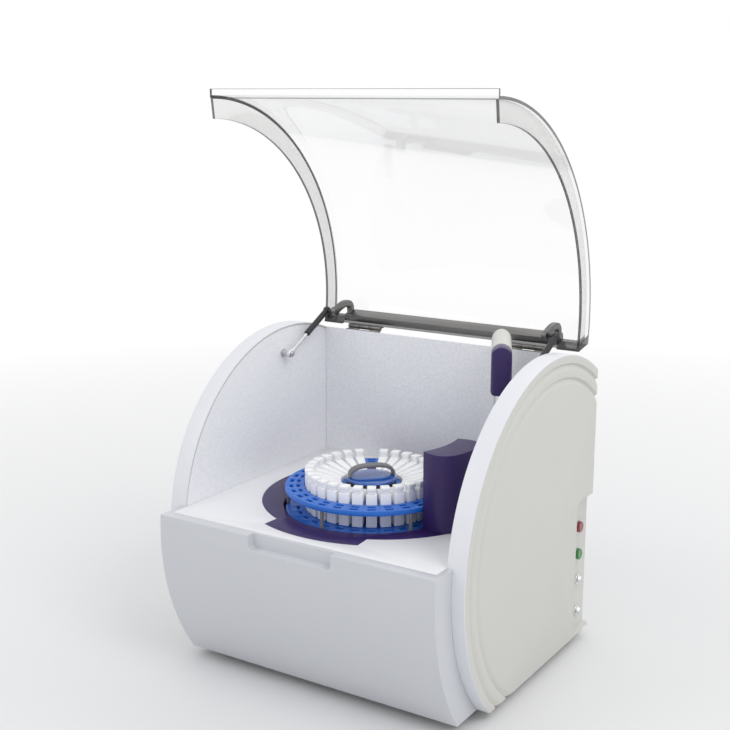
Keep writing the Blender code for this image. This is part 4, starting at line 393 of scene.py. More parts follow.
# Side covers: a round plate with a rim band and two shadow grooves, cut off at the rear and underside
sides = {"radius": 263 * mm, "middle": 185.6 * mm, "face": 241.5 * mm, "inner": 213.7 * mm,
    "rear": 143 * mm, "softEdge": 1.6 * mm, "grooveDepth": 3.6 * mm, "grooveWall": 1.8 * mm,
    "grooveRamp": 10 * mm, "grooveInsets": (12 * mm, 32 * mm), "steps": 200, "lining": 3 * mm,
    "gap": 0.3 * mm, "rimEdge": 0.6 * mm, "rimBand": 1.2 * mm, "grooveRim": 0.5 * mm, "grooveFoot": 0.9 * mm}
# Points on the soft edge of a side, as shares of its width
edgeShares = ((0.45, 0.18), (0.15, 0.5))
overrun = 10 * mm                                   # how far a carving tool passes the surface


def sideOutline(inset, steps):
    radius = sides["radius"] - inset
    rear = sides["rear"] - inset
    low = math.pi + math.asin((sides["middle"] - inset) / radius)
    high = math.acos(rear / radius)
    return arc((0, sides["middle"]), radius, high, low, steps) + [(rear, inset)]


def cutOff(bm, point, outward):
    bm.normal_update()
    cut = bmesh.ops.bisect_plane(bm, geom=bm.verts[:] + bm.edges[:] + bm.faces[:], plane_co=point,
        plane_no=outward, clear_outer=True)
    edges = [e for e in cut["geom_cut"] if isinstance(e, bmesh.types.BMEdge)]
    bmesh.ops.contextual_create(bm, geom=edges)


def sideCover(name, side, stands):
    radius, face, inner = sides["radius"], sides["face"], sides["inner"]
    seat = inner + sides["lining"] + sides["gap"]
    profile = [(seat, 0), (seat, radius - sides["lining"]), (inner, radius - sides["lining"]),
        (inner, radius - sides["rimEdge"]), (inner + sides["rimEdge"], radius),
        (face - sides["softEdge"], radius)]
    profile += [(face - a * sides["softEdge"], radius - b * sides["softEdge"]) for a, b in edgeShares]
    profile.append((face, radius - sides["softEdge"]))
    for inset in sides["grooveInsets"]:
        depth, wall, ramp = sides["grooveDepth"], sides["grooveWall"], sides["grooveRamp"]
        profile += [
            (face, radius - inset + sides["grooveRim"]), (face - 0.25 * depth, radius - inset),
            (face - depth, radius - inset - wall),
            (face - 0.92 * depth, radius - inset - wall - sides["grooveFoot"]),
            (face - 0.42 * depth, radius - inset - 0.6 * ramp),
            (face - 0.1 * depth, radius - inset - 0.88 * ramp), (face, radius - inset - ramp - mm)]
    profile.append((face, 0))
    bm = turned([(side * x, r) for x, r in profile], (0, sides["middle"]), "X", sides["steps"])
    cutOff(bm, (0, 0, 0), (0, 0, -1))
    cutOff(bm, (0, sides["rear"], 0), (0, 1, 0))
    return rawObject(name, bm)


leftSide = sideCover("leftSide", -1, "left_side_cover")
dress(leftSide, moulded["sideGrey"], "housing", "left_side_cover", bevel=0.7 * mm, angle=50, smooth=28)

recess = {"front": 86 * mm, "low": 6 * mm, "high": 214 * mm, "floor": 232.5 * mm, "corner": 12 * mm}
rightSide = sideCover("rightSide", 1, "right_side_cover")
carve(rightSide, prism(roundedBox((recess["front"], recess["low"]),
    (sides["rear"] + 4 * overrun, recess["high"]), recess["corner"], 10), recess["floor"],
    sides["face"] + overrun, "X"))
dress(rightSide, moulded["sideGrey"], "housing", "right_side_cover", bevel=0.9 * mm, steps=3, angle=50,
    smooth=28)

for cover in (leftSide, rightSide):                 # the rims are a cooler white than the faces
    cover.data.materials.append(moulded["rimWhite"])
    for polygon in cover.data.polygons:
        rise = polygon.center.z - stand["up"] - sides["middle"]
        if math.hypot(polygon.center.y - stand["back"], rise) > sides["radius"] - sides["rimBand"]:
            polygon.material_index = 1

for name, side, stands in (("leftLining", -1, "left_inner_wall"), ("rightLining", 1, "right_inner_wall")):
    span = sorted((side * sides["inner"], side * (sides["inner"] + sides["lining"])))
    build(name, prism(sideOutline(sides["lining"] + sides["gap"], 140), *span, "X"), wallCoat, "housing",
        stands, bevel=0.5 * mm, angle=50)
repaint(wallCoat, "chamber_wall")
repaint(moulded["sideGrey"], "rear_cover")
print("side covers and linings made")

# Front cover: bulging front, plain sides back to the rims, ledge round the deck, finger pocket
front = {"half": 222.5 * mm, "radius": 328.3 * mm, "middleY": 23.4 * mm, "middleZ": 194.1 * mm,
    "wall": 3 * mm, "top": 223.9 * mm, "edge": 1.8 * mm, "deckFront": -286 * mm, "pocketHalf": 67 * mm,
    "pocketHeight": 20.5 * mm, "pocketDepth": 13.5 * mm, "pocketCorner": 6 * mm, "hollowRear": -95 * mm,
    "ledge": 15 * mm}
frontReach = front["radius"] - front["middleY"]


def frontArc(inset, top, steps):
    radius = front["radius"] - inset
    low = math.pi + math.asin(front["middleZ"] / radius)
    high = math.pi - math.asin((top - front["middleZ"]) / radius)
    return arc((front["middleY"], front["middleZ"]), radius, low, high, steps)


rimRadius = sides["radius"] + sides["gap"]
rimLow = math.pi + math.asin(sides["middle"] / rimRadius)
rimHigh = math.pi - math.asin((front["top"] - sides["middle"]) / rimRadius)
frontBm = prism(frontArc(0, front["top"], 60) + arc((0, sides["middle"]), rimRadius, rimHigh, rimLow, 40),
    -front["half"], front["half"], "X")
frontShell = rawObject("frontShell", frontBm)
hollowLine = frontArc(front["wall"], front["top"] - front["wall"], 50)
hollowLine = [(hollowLine[0][0], -overrun)] + hollowLine
hollowLine += [(front["hollowRear"], front["top"] - front["wall"]), (front["hollowRear"], -overrun)]
carve(frontShell, prism(hollowLine, -front["half"] + front["wall"], front["half"] - front["wall"], "X"),
    solver="MANIFOLD")
wall = front["wall"]
carve(frontShell, prism(rectangle((-frontReach + wall / 2, front["top"] - front["pocketHeight"] - wall),
    (-frontReach + front["pocketDepth"] + wall, front["top"] - wall / 2)), -front["pocketHalf"] - wall,
    front["pocketHalf"] + wall, "X"), "UNION")
carve(frontShell, prism(roundedBox((-front["pocketHalf"], front["top"] - front["pocketHeight"]),
    (front["pocketHalf"], front["top"] + 2 * overrun), front["pocketCorner"], 10), -frontReach - overrun,
    -frontReach + front["pocketDepth"], "Y"))
ledgeFront, ledgeLow = front["deckFront"] - sides["gap"], front["top"] - front["ledge"]
carve(frontShell, prism(rectangle((ledgeFront, ledgeLow), (overrun, front["top"] + overrun)),
    -sides["inner"], sides["inner"], "X"))
dress(frontShell, moulded["frontWhite"], "housing", "front_cover", bevel=front["edge"], steps=4, angle=40,
    smooth=30)
print("front cover made")

# Deck, well and its cup
well = {"middleY": -69 * mm, "radius": 176.3 * mm, "lobe": 200.3 * mm, "lobeHalf": math.radians(22.5),
    "ramp": math.radians(2.6), "bore": 127.2 * mm, "plate": 2.2 * mm, "top": 223.6 * mm, "floor": 206 * mm,
    "rear": 96.2 * mm, "deckThick": 6 * mm, "seat": 2.8 * mm, "cupWall": 3 * mm, "shaftHole": 17 * mm,
    "postHole": 10.1 * mm}
post = (121.5 * mm, 64 * mm)                        # the probe's post stands behind the well, on the right
carousel = {"y": -99.5 * mm, "thick": 6.8 * mm, "upper": 246.5 * mm, "lower": 213 * mm, "places": 30,
    "empty": 15, "facing": math.radians(-57.5)}


def wellOutline(grow):
    start, end = -math.pi / 2 - well["lobeHalf"], -math.pi / 2 + well["lobeHalf"]
    points = arc((0, well["middleY"]), well["lobe"] + grow, start, end, 40)
    points += arc((0, well["middleY"]), well["radius"] + grow, end + well["ramp"],
        start - well["ramp"] + 2 * math.pi, 180)
    return points


deckHalf, deckTop, cutTop = sides["inner"] - sides["gap"], front["top"], front["top"] + overrun
deck = rawObject("deck", prism(rectangle((-deckHalf, front["deckFront"]), (deckHalf, well["rear"])),
    deckTop - well["deckThick"], deckTop, "Z"))
carve(deck, prism(wellOutline(sides["gap"]), deckTop - well["seat"], cutTop, "Z"))
cupHole = circle((0, carousel["y"]), well["bore"] + well["cupWall"] + sides["gap"], 128)
carve(deck, prism(cupHole, deckTop - 2 * overrun, cutTop, "Z"))
carve(deck, prism(circle(post, well["postHole"], 48), deckTop - 2 * overrun, cutTop, "Z"))
dress(deck, moulded["deckWhite"], "housing", "deck_plate", bevel=0.4 * mm, angle=50)

wellPlate = rawObject("wellPlate", prism([(x, min(y, well["rear"])) for x, y in wellOutline(0)],
    well["top"] - well["plate"], well["top"], "Z"))
cup = well["bore"] + well["cupWall"]
carve(wellPlate, turned([(well["floor"] - well["cupWall"], cup), (well["top"] - well["plate"] / 2, cup)],
    (0, carousel["y"]), "Z", 128), "UNION")
carve(wellPlate, turned([(well["floor"] - 2 * overrun, well["shaftHole"]),
    (well["floor"], well["shaftHole"]), (well["floor"], well["bore"]), (cutTop, well["bore"])],
    (0, carousel["y"]), "Z", 128))
carve(wellPlate, prism(circle(post, well["postHole"], 48), well["floor"], cutTop, "Z"))
dress(wellPlate, moulded["purple"], "housing", "carousel_well", bevel=0.6 * mm, steps=3, angle=50)
print("deck and well made")

# Carousel discs: a polar sheet with the slots and perforations left open, then given its thickness
disc = {"slotHalf": 5.15, "holeHalf": 2.9, "rims": (36.4, 43.1, 96.9, 103.5, 108.5, 113.0, 118.5, 124.6),
    "holeRows": (3, 5), "holeCells": (1, 2), "slotRow": 1, "edge": 0.7 * mm,
    "lowerRims": (15.3, 60.0, 100.0, 103.5, 108.5, 124.0)}
carouselTurn = Matrix.Translation((0, carousel["y"], 0))


def polarDisc(name, z, rims, openCell, cells):
    bm = bmesh.new()
    pitch = 360 / carousel["places"]
    angles = []
    for place in range(carousel["places"]):
        for offset in cells:
            angles.append(carousel["facing"] + math.radians(place * pitch + offset))
    rings = [[bm.verts.new((r * mm * math.cos(a), r * mm * math.sin(a),
        z + carousel["thick"])) for a in angles] for r in rims]
    count = len(angles)
    for row in range(len(rims) - 1):
        for index in range(count):
            if openCell(row, index % len(cells)):
                continue
            after = (index + 1) % count
            bm.faces.new((rings[row][index], rings[row][after], rings[row + 1][after],
                rings[row + 1][index]))
    loose = [v for v in bm.verts if not v.link_faces]
    bmesh.ops.delete(bm, geom=loose, context="VERTS")
    made = rawObject(name, bm, carouselTurn)
    upward = made.data.polygons[0].normal.z > 0
    body = made.modifiers.new("thickness", "SOLIDIFY")
    body.thickness = carousel["thick"]
    body.offset = -1 if upward else 1
    return settle(made)


def upperOpen(row, cell):  # cells run from -5.15 degrees; the last one is the bridge
    if row == disc["slotRow"]:
        return cell < 4
    return row in disc["holeRows"] and cell in disc["holeCells"]


upperCells = (-disc["slotHalf"], -disc["holeHalf"], 0.0, disc["holeHalf"], disc["slotHalf"])
upperDisc = polarDisc("upperDisc", carousel["upper"], disc["rims"], upperOpen, upperCells)
dress(upperDisc, moulded["discBlue"], "carousel", "upper_disc", bevel=disc["edge"], steps=2, angle=50)
lowerDisc = polarDisc("lowerDisc", carousel["lower"], disc["lowerRims"], lambda row,
    cell: row == disc["holeRows"][0] and cell in disc["holeCells"], upperCells)
dress(lowerDisc, moulded["discBlue"], "carousel", "lower_disc", bevel=disc["edge"], steps=2, angle=50)

# Spacer pillars between the discs, set round by Geometry Nodes
pillars = {"count": 6, "ring": 121.3 * mm, "radius": 2.6 * mm, "first": math.radians(-91.5),
    "low": 219.9 * mm, "high": 246.4 * mm, "edge": 0.3 * mm}


def treeNode(tree, kind, values=None, **settings):
    made = tree.nodes.new(kind)
    for key, value in settings.items():
        setattr(made, key, value)
    for key, value in (values or {}).items():
        if isinstance(value, bpy.types.NodeSocket):
            tree.links.new(value, made.inputs[key])
        else:
            made.inputs[key].default_value = value
    return made


def mathNode(tree, operation, *values):
    return treeNode(tree, "ShaderNodeMath", dict(enumerate(values)), operation=operation).outputs[0]


def ringTree(name):                                 # copies the piece round a circle, facing outwards
    tree = bpy.data.node_groups.new(name, "GeometryNodeTree")
    face = tree.interface
    face.new_socket("Piece", in_out="INPUT", socket_type="NodeSocketGeometry")
    for label, kind in (("Count", "NodeSocketInt"), ("Radius", "NodeSocketFloat"),
            ("First Angle", "NodeSocketFloat"), ("Empty Place", "NodeSocketInt"),
            ("Finish", "NodeSocketMaterial")):
        face.new_socket(label, in_out="INPUT", socket_type=kind)
    face.new_socket("Result", in_out="OUTPUT", socket_type="NodeSocketGeometry")
    given = treeNode(tree, "NodeGroupInput").outputs
    line = treeNode(tree, "GeometryNodeMeshLine", {"Count": given["Count"], "Offset": (0, 0, 0)})
    index = treeNode(tree, "GeometryNodeInputIndex").outputs[0]
    step = mathNode(tree, "DIVIDE", math.tau, given["Count"])
    angle = mathNode(tree, "MULTIPLY_ADD", index, step, given["First Angle"])
    across = mathNode(tree, "MULTIPLY", mathNode(tree, "COSINE", angle), given["Radius"])
    along = mathNode(tree, "MULTIPLY", mathNode(tree, "SINE", angle), given["Radius"])
    spot = treeNode(tree, "ShaderNodeCombineXYZ", {"X": across, "Y": along}).outputs[0]
    points = treeNode(tree, "GeometryNodeSetPosition", {"Geometry": line.outputs[0],
        "Position": spot}).outputs[0]
    filled = treeNode(tree, "FunctionNodeCompare", {2: index, 3: given["Empty Place"]}, data_type="INT",
        operation="NOT_EQUAL").outputs[0]
    turn = treeNode(tree, "ShaderNodeCombineXYZ", {"Z": angle}).outputs[0]
    stored = treeNode(tree, "FunctionNodeEulerToRotation", {0: turn}).outputs[0]
    copies = treeNode(tree, "GeometryNodeInstanceOnPoints", {"Points": points, "Instance": given["Piece"],
        "Selection": filled, "Rotation": stored}).outputs[0]
    real = treeNode(tree, "GeometryNodeRealizeInstances", {"Geometry": copies}).outputs[0]
    done = treeNode(tree, "GeometryNodeSetMaterial", {"Geometry": real,
        "Material": given["Finish"]}).outputs[0]
    treeNode(tree, "NodeGroupOutput", {0: done})
    return tree


ringGroup = ringTree("aroundTheShaft")


def aroundShaft(name, bm, settings, turn, material):
    bmesh.ops.recalc_face_normals(bm, faces=bm.faces)
    made = meshObject(name, bm)
    change = made.modifiers.new("round", "NODES")
    change.node_group = ringGroup
    inputs = {item.name: item.identifier for item in ringGroup.interface.items_tree
        if item.item_type == "SOCKET"}
    for label, value in {**settings, "Finish": material}.items():
        change[inputs[label]] = value
    settle(made)
    made.data.transform(toBench @ turn)
    return made


slim = pillars["radius"] - pillars["edge"]
pillarLine = [(pillars["low"], slim), (pillars["low"] + pillars["edge"], pillars["radius"]),
    (pillars["high"] - pillars["edge"], pillars["radius"]), (pillars["high"], slim)]
pillarInputs = {"Count": pillars["count"], "Radius": pillars["ring"], "First Angle": pillars["first"],
    "Empty Place": -1}
spacers = aroundShaft("spacerPillars", turned(pillarLine, (0, 0), "Z", 20), pillarInputs, carouselTurn,
    moulded["handleGrey"])
dress(spacers, moulded["handleGrey"], "carousel")

# Reagent bottles: one rounded wedge with a sloped shoulder, a square neck and a cap, then twenty-nine copies
bottle = {"inner": 44 * mm, "outer": 96 * mm, "halfAngle": math.radians(4.6), "foot": 220.1 * mm,
    "shoulder": 267.6 * mm, "heel": 259 * mm, "neckInner": 84 * mm, "neckHalf": 5.3 * mm,
    "neckTop": 272.0 * mm, "capHalf": 6.2 * mm, "capTop": 277.5 * mm, "edge": 1.3 * mm,
    "neckEdge": 0.8 * mm, "capEdge": 1.1 * mm}


def bottleBody():
    bm = bmesh.new()
    line = [(bottle["inner"], bottle["foot"]), (bottle["outer"], bottle["foot"]),
        (bottle["outer"], bottle["shoulder"]), (bottle["neckInner"], bottle["shoulder"]),
        (bottle["inner"], bottle["heel"])]
    flanks = []
    for turn in (-bottle["halfAngle"], bottle["halfAngle"]):
        flanks.append([bm.verts.new((r * math.cos(turn), r * math.sin(turn), z)) for r, z in line])
        bm.faces.new(flanks[-1])
    for index in range(len(line)):
        after = (index + 1) % len(line)
        bm.faces.new((flanks[0][index], flanks[0][after], flanks[1][after], flanks[1][index]))
    bmesh.ops.recalc_face_normals(bm, faces=bm.faces)
    bmesh.ops.bevel(bm, geom=bm.edges[:], offset=bottle["edge"], segments=3, profile=0.5, affect="EDGES")
    return bm


def roundedBlock(bm, low, high, edge, segments):
    fresh = bmesh.new()
    addPrism(fresh, rectangle(low, high), low[2], high[2], "Z")
    bmesh.ops.recalc_face_normals(fresh, faces=fresh.faces)
    bmesh.ops.bevel(fresh, geom=fresh.edges[:], offset=edge, segments=segments, profile=0.5, affect="EDGES")
    spare = bpy.data.meshes.new("spare")
    fresh.to_mesh(spare)
    fresh.free()
    bm.from_mesh(spare)
    bpy.data.meshes.remove(spare)


def bottleTop():
    bm = bmesh.new()
    spot = (bottle["neckInner"] + bottle["outer"]) / 2
    reach = bottle["neckHalf"]
    roundedBlock(bm, (spot - reach, -reach, bottle["shoulder"] - mm),
        (spot + reach, reach, bottle["neckTop"] + mm), bottle["neckEdge"], 2)
    half = bottle["capHalf"]
    roundedBlock(bm, (spot - half, -half, bottle["neckTop"]), (spot + half, half, bottle["capTop"]),
        bottle["capEdge"], 3)
    return bm


ringInputs = {"Count": carousel["places"], "Radius": 0.0, "First Angle": carousel["facing"],
    "Empty Place": carousel["empty"]}
bottles = aroundShaft("reagentBottles", bottleBody(), ringInputs, carouselTurn, moulded["bottleWhite"])
dress(bottles, moulded["bottleWhite"], "carousel", "reagent_bottles", smooth=40)
caps = aroundShaft("bottleCaps", bottleTop(), ringInputs, carouselTurn, moulded["bottleWhite"])
dress(caps, moulded["bottleWhite"], "carousel", smooth=40)
print("carousel discs and bottles made")

# Hub, its domed cap and the carry handle over it
hub = {"radius": 36 * mm, "top": 260 * mm, "crown": 3.5 * mm, "step": 3 * mm, "spigot": 15 * mm,
    "shaft": 8.3 * mm, "socket": 233 * mm, "low": 209 * mm, "seat": 220.1 * mm, "discSeat": 246.2 * mm,
    "rim": 2.4 * mm, "inset": 0.6 * mm}
wide = hub["radius"] + hub["step"]
build("hub", turned([(hub["socket"], 0), (hub["socket"], hub["shaft"]), (hub["low"], hub["shaft"]),
    (hub["low"], hub["spigot"]), (hub["seat"], hub["spigot"]), (hub["seat"], wide), (hub["discSeat"], wide),
    (hub["discSeat"], hub["radius"]), (hub["top"], hub["radius"]), (hub["top"], 0)], (0, 0), "Z", 96),
    moulded["arcBlack"], "carousel", "carousel_hub", turn=carouselTurn, bevel=0.5 * mm, angle=50)
capLow, capRim = hub["top"] + sides["gap"], hub["top"] + hub["step"]
dome = [(capLow, 0), (capLow, hub["radius"]), (hub["top"] + hub["rim"], hub["radius"])]
dome += [(capRim + hub["crown"] * math.sin(k * math.pi / 24),
    (hub["radius"] - hub["inset"]) * math.cos(k * math.pi / 24)) for k in range(12)]
dome.append((capRim + hub["crown"], 0))
glossBlue = mouldedFinish("glossBlue", {"colour": (0.008, 0.09, 0.40), "roughness": 0.16, "mottle": 0.05,
    "grain": 0.02, "coat": 0.8, "coatRoughness": 0.05})
build("hubCap", turned(dome, (0, 0), "Z", 96), glossBlue, "carousel", "hub_cap", turn=carouselTurn)

handle = {"half": 34.5 * mm, "rise": 18 * mm, "width": 13 * mm, "thick": 4.5 * mm,
    "angle": math.radians(46), "power": 2.6, "foot": 264.75 * mm, "edge": 1.4 * mm}


def archLine(half, rise, steps):
    points = []
    for k in range(steps + 1):
        a, b = math.cos(math.pi * k / steps), math.sin(math.pi * k / steps)
        points.append((math.copysign(abs(a) ** (2 / handle["power"]), a) * half,
            abs(b) ** (2 / handle["power"]) * rise + handle["foot"]))
    return points


handleBm = prism(archLine(handle["half"], handle["rise"], 48) + archLine(handle["half"] - handle["thick"],
    handle["rise"] - handle["thick"], 48)[::-1], -handle["width"] / 2, handle["width"] / 2, "Y")
build("carryHandle", handleBm, moulded["handleGrey"], "carousel", "carry_handle",
    turn=carouselTurn @ Matrix.Rotation(handle["angle"], 4, "Z"), bevel=handle["edge"], steps=3, angle=50)
print("hub and handle made")

# Photometer cover: a rounded block whose inner side follows the discs
block = {"inner": 127.8 * mm, "depth": 41.5 * mm, "start": math.radians(-24.5), "end": math.radians(12.5),
    "base": 223.9 * mm, "top": 333 * mm, "power": 3.4, "edge": 3.2 * mm, "wall": 2.6 * mm, "roof": 6 * mm,
    "slotRadii": (120 * mm, 131.5 * mm), "slotHalf": 0.044, "slotZ": (230 * mm, 245.5 * mm)}


def blockOutline(inset, steps):
    inner = block["inner"] + inset
    start, end = block["start"] + inset / inner, block["end"] - inset / inner
    points = [(inner * math.cos(start + (end - start) * k / steps),
        carousel["y"] + inner * math.sin(start + (end - start) * k / steps)) for k in range(steps + 1)]
    for k in range(1, 2 * steps):
        share = -math.cos(math.pi * k / (2 * steps))
        bulge = (1 - abs(share) ** block["power"]) ** (1 / block["power"])
        radius = inner + (block["depth"] - 2 * inset) * bulge
        angle = end + (start - end) * (1 + share) / 2
        points.append((radius * math.cos(angle), carousel["y"] + radius * math.sin(angle)))
    return points


cover = rawObject("photometerCover", prism(blockOutline(0, 28), block["base"], block["top"], "Z"))
carve(cover, prism(blockOutline(block["wall"], 28), block["base"] - overrun, block["top"] - block["roof"],
    "Z"))
middle = (block["start"] + block["end"]) / 2
near, far = block["slotRadii"]
slot = [(r * math.cos(middle + t * block["slotHalf"]), carousel["y"] + r * math.sin(middle + t
    * block["slotHalf"])) for r, t in rectangle((near, -1), (far, 1))]
carve(cover, prism(slot, *block["slotZ"], "Z"))
dress(cover, moulded["purple"], "housing", "photometer_cover", bevel=block["edge"], steps=5, angle=60,
    smooth=40)

# Probe: post, collar, rounded arm in two shells, and needle
probe = {"post": 9.5 * mm, "direction": math.radians(-63.3), "reach": 125 * mm, "width": 29 * mm,
    "low": 395.5 * mm, "height": 68 * mm, "split": 30 * mm, "edge": 5 * mm, "needleReach": 112 * mm,
    "needle": 1.2 * mm, "needleLength": 56 * mm, "needleTip": 3 * mm, "needleTop": 417.8 * mm,
    "needleBore": 1.5 * mm, "needleBoreTop": 418 * mm, "postTop": 429 * mm, "postBore": 9.8 * mm,
    "postBoreTop": 429.5 * mm, "postLow": 121.2 * mm, "flange": 12.5 * mm,
    "flangeZ": (150.3 * mm, 156 * mm), "collarLine": ((224.2, 10.1), (224.2, 17), (229, 17), (233.9, 14),
    (233.9, 10.1))}
probeTurn = Matrix.Translation((*post, 0)) @ Matrix.Rotation(probe["direction"], 4, "Z")
flangeLow, flangeHigh = probe["flangeZ"]
build("post", turned([(probe["postLow"], probe["post"]), (flangeLow, probe["post"]),
    (flangeLow, probe["flange"]), (flangeHigh, probe["flange"]), (flangeHigh, probe["post"]),
    (probe["postTop"], probe["post"])], (0, 0), "Z", 64), metals["steel"], "probe_arm", "probe_post",
    turn=probeTurn, bevel=0.4 * mm, angle=50)


def armSection(steps):
    half, top = probe["width"] / 2, probe["low"] + probe["height"] - probe["width"] / 2
    low, edge = probe["low"], probe["edge"]
    return (arc((0, top), half, 0, math.pi, 2 * steps) + arc((-half + edge, low + edge), edge, math.pi,
        1.5 * math.pi, steps) + arc((half - edge, low + edge), edge, 1.5 * math.pi, 2 * math.pi, steps))


def armPlan(steps):
    half, nose = probe["width"] / 2, 2 * probe["edge"]
    return (arc((probe["reach"] - nose, half - nose), nose, 0, math.pi / 2, steps) + arc((0, 0), half,
        math.pi / 2, 1.5 * math.pi, 2 * steps) + arc((probe["reach"] - nose, -half + nose), nose,
        -math.pi / 2, 0, steps))


split = probe["reach"] - probe["split"]
under, over = probe["low"] - overrun / 2, probe["low"] + probe["height"] + overrun / 2
shells = (("armShell", -2 * overrun, split - sides["gap"], "sideGrey", "arm_shell", (0, 0), 48,
    (probe["postBoreTop"], probe["postBore"])), ("armCover", split, probe["reach"] + overrun / 2, "purple",
    "arm_cover", (probe["needleReach"], 0), 24, (probe["needleBoreTop"], probe["needleBore"])))
for name, low, high, finish, stands, spot, steps, (boreTop, bore) in shells:
    part = rawObject(name, prism(armSection(14), low, high, "X"), probeTurn)
    carve(part, prism(armPlan(16), under, over, "Z"), "INTERSECT", probeTurn)
    carve(part, turned([(under, bore), (boreTop, bore)], spot, "Z", steps), turn=probeTurn)
    dress(part, moulded[finish], "probe_arm", stands, bevel=0.5 * mm, steps=2, angle=55, smooth=35)
tip = probe["low"] - probe["needleLength"]
build("needle", turned([(tip, 0), (tip + probe["needleTip"], probe["needle"]),
    (probe["needleTop"], probe["needle"])], (probe["needleReach"], 0), "Z", 24), metals["steel"],
    "probe_arm", "probe_needle", turn=probeTurn)
build("collar", turned([(z * mm, r * mm) for z, r in probe["collarLine"]], post, "Z", 64, True),
    moulded["handleGrey"], "housing", "probe_collar", bevel=0.8 * mm, steps=3, angle=40)
print("photometer and probe made")

# Lid: a clear curved sheet with side flanges and a lip, in its open place
lid = {"half": 224.7 * mm, "sheet": 4.5 * mm, "radius": 313.3 * mm, "flange": 32.5 * mm, "y": -167.4 * mm,
    "z": 486.8 * mm, "outerStart": math.radians(-8.4), "innerStart": math.radians(-10.6), "lip": 8.8 * mm,
    "frontRake": 3.8 * mm, "steps": 110, "edge": 0.6 * mm, "lipY": (-1.1 * mm, 3.4 * mm),
    "lipFoot": 3.6 * mm, "slotY": (102.5 * mm, 113.5 * mm), "slotZ": (428.5 * mm, 444 * mm),
    "slotHalf": 188.7 * mm,
       # How near to an edge a face still takes the edge's finish
       "sideNear": 0.9 * mm, "frontNear": 4.2 * mm, "lipNear": 0.5 * mm, "ridgeNear": 0.4 * mm}


def lidSpot(radius, angle, x):
    return (x, lid["y"] + radius * math.cos(angle), lid["z"] + radius * math.sin(angle))


def lidSheet():
    bm = bmesh.new()
    low, roof = lid["radius"] - lid["flange"], lid["radius"] - lid["sheet"]
    innerX = lid["half"] - lid["sheet"]
    wallShare = lid["sheet"] / (lid["radius"] * (math.pi / 2 - lid["outerStart"]))
    shares = [0, wallShare] + [wallShare + (1 - wallShare) * k / lid["steps"] for k in range(1,
        lid["steps"] + 1)]
    outer, inner = [], []
    deepEnd = math.pi / 2 - lid["frontRake"] / low      # the flange's foot stops short of the front cover
    for share in shares:
        deepAngle = lid["innerStart"] + (deepEnd - lid["innerStart"]) * share
        wideAngle = lid["outerStart"] + (math.pi / 2 - lid["outerStart"]) * share
        outer.append([bm.verts.new(lidSpot(low, deepAngle, -lid["half"])),
            bm.verts.new(lidSpot(roof, wideAngle, -lid["half"])),
            bm.verts.new(lidSpot(lid["radius"], wideAngle, -lid["half"])),
            bm.verts.new(lidSpot(lid["radius"], wideAngle, lid["half"])),
            bm.verts.new(lidSpot(roof, wideAngle, lid["half"])), bm.verts.new(lidSpot(low, deepAngle,
            lid["half"]))])
        if share > 0:
            inner.append([bm.verts.new(lidSpot(low, deepAngle, -innerX)),
                bm.verts.new(lidSpot(roof, wideAngle, -innerX)), bm.verts.new(lidSpot(roof, wideAngle,
                innerX)), bm.verts.new(lidSpot(low, deepAngle, innerX))])
    for lines in (outer, inner):
        for one, two in zip(lines, lines[1:]):
            for k in range(len(one) - 1):
                bm.faces.new((one[k], one[k + 1], two[k + 1], two[k]))
    bm.faces.new(outer[0])
    bm.faces.new(inner[0])
    bm.faces.new((outer[0][0], outer[1][0], inner[0][0], inner[0][3], outer[1][5], outer[0][5]))
    for k, m in ((0, 0), (5, 3)):
        for index in range(1, len(outer) - 1):
            bm.faces.new((outer[index][k], outer[index + 1][k], inner[index][m], inner[index - 1][m]))
    bm.faces.new(outer[-1] + inner[-1][::-1])
    return bm


sheet = rawObject("lidSheet", lidSheet())
top = lid["z"] + lid["radius"]
lipFront, lipBack = (lid["y"] + reach for reach in lid["lipY"])
carve(sheet, prism(rectangle((lipFront, top - lid["lipFoot"]), (lipBack, top + lid["lip"])), -lid["half"],
    lid["half"], "X"), "UNION")
carve(sheet, prism(rectangle(*zip(lid["slotY"], lid["slotZ"])), -lid["slotHalf"], lid["slotHalf"], "X"))
dress(sheet, clearSheet, "lid", "lid_sheet", bevel=lid["edge"], steps=2, angle=50, smooth=30)
sheet.data.materials.append(paintedEdgeShade)
sheet.data.materials.append(clearFlange)
lidMiddle = Vector(toBench @ Vector((0, lid["y"], lid["z"])))
lidTop = lidMiddle.z + lid["radius"]
for polygon in sheet.data.polygons:                 # the sheet's cut edges get painted shade: a dark finish in place of the dark look that light gives the edges of clear acrylic
    centre = polygon.center
    radius = math.hypot(centre.y - lidMiddle.y, centre.z - lidMiddle.z)
    out = Vector((0, centre.y - lidMiddle.y, centre.z - lidMiddle.z)).normalized()
    onFlangeFoot = abs(radius - (lid["radius"]
        - lid["flange"])) < lid["sideNear"] and abs(polygon.normal.dot(out)) > 0.5
    atFront = (centre.y < lidMiddle.y + lid["frontNear"] and abs(polygon.normal.y) > 0.5
               and lidMiddle.z < centre.z < lidTop)
    onLip = (centre.z > lidTop + lid["lipNear"]
             and (abs(polygon.normal.z) > 0.3 or abs(polygon.normal.x) > 0.5))
    onSide = abs(polygon.normal.x) > 0.7
    onRidge = onSide and radius > lid["radius"] - lid["sheet"] - lid["ridgeNear"]
    atRear = math.atan2(out.z, out.y) < lid["outerStart"] + 0.03 and abs(polygon.normal.dot(out)) < 0.5
    if onFlangeFoot or atFront or onLip or atRear or onRidge:
        polygon.material_index = 1
    elif onSide:
        polygon.material_index = 2
print("lid made")

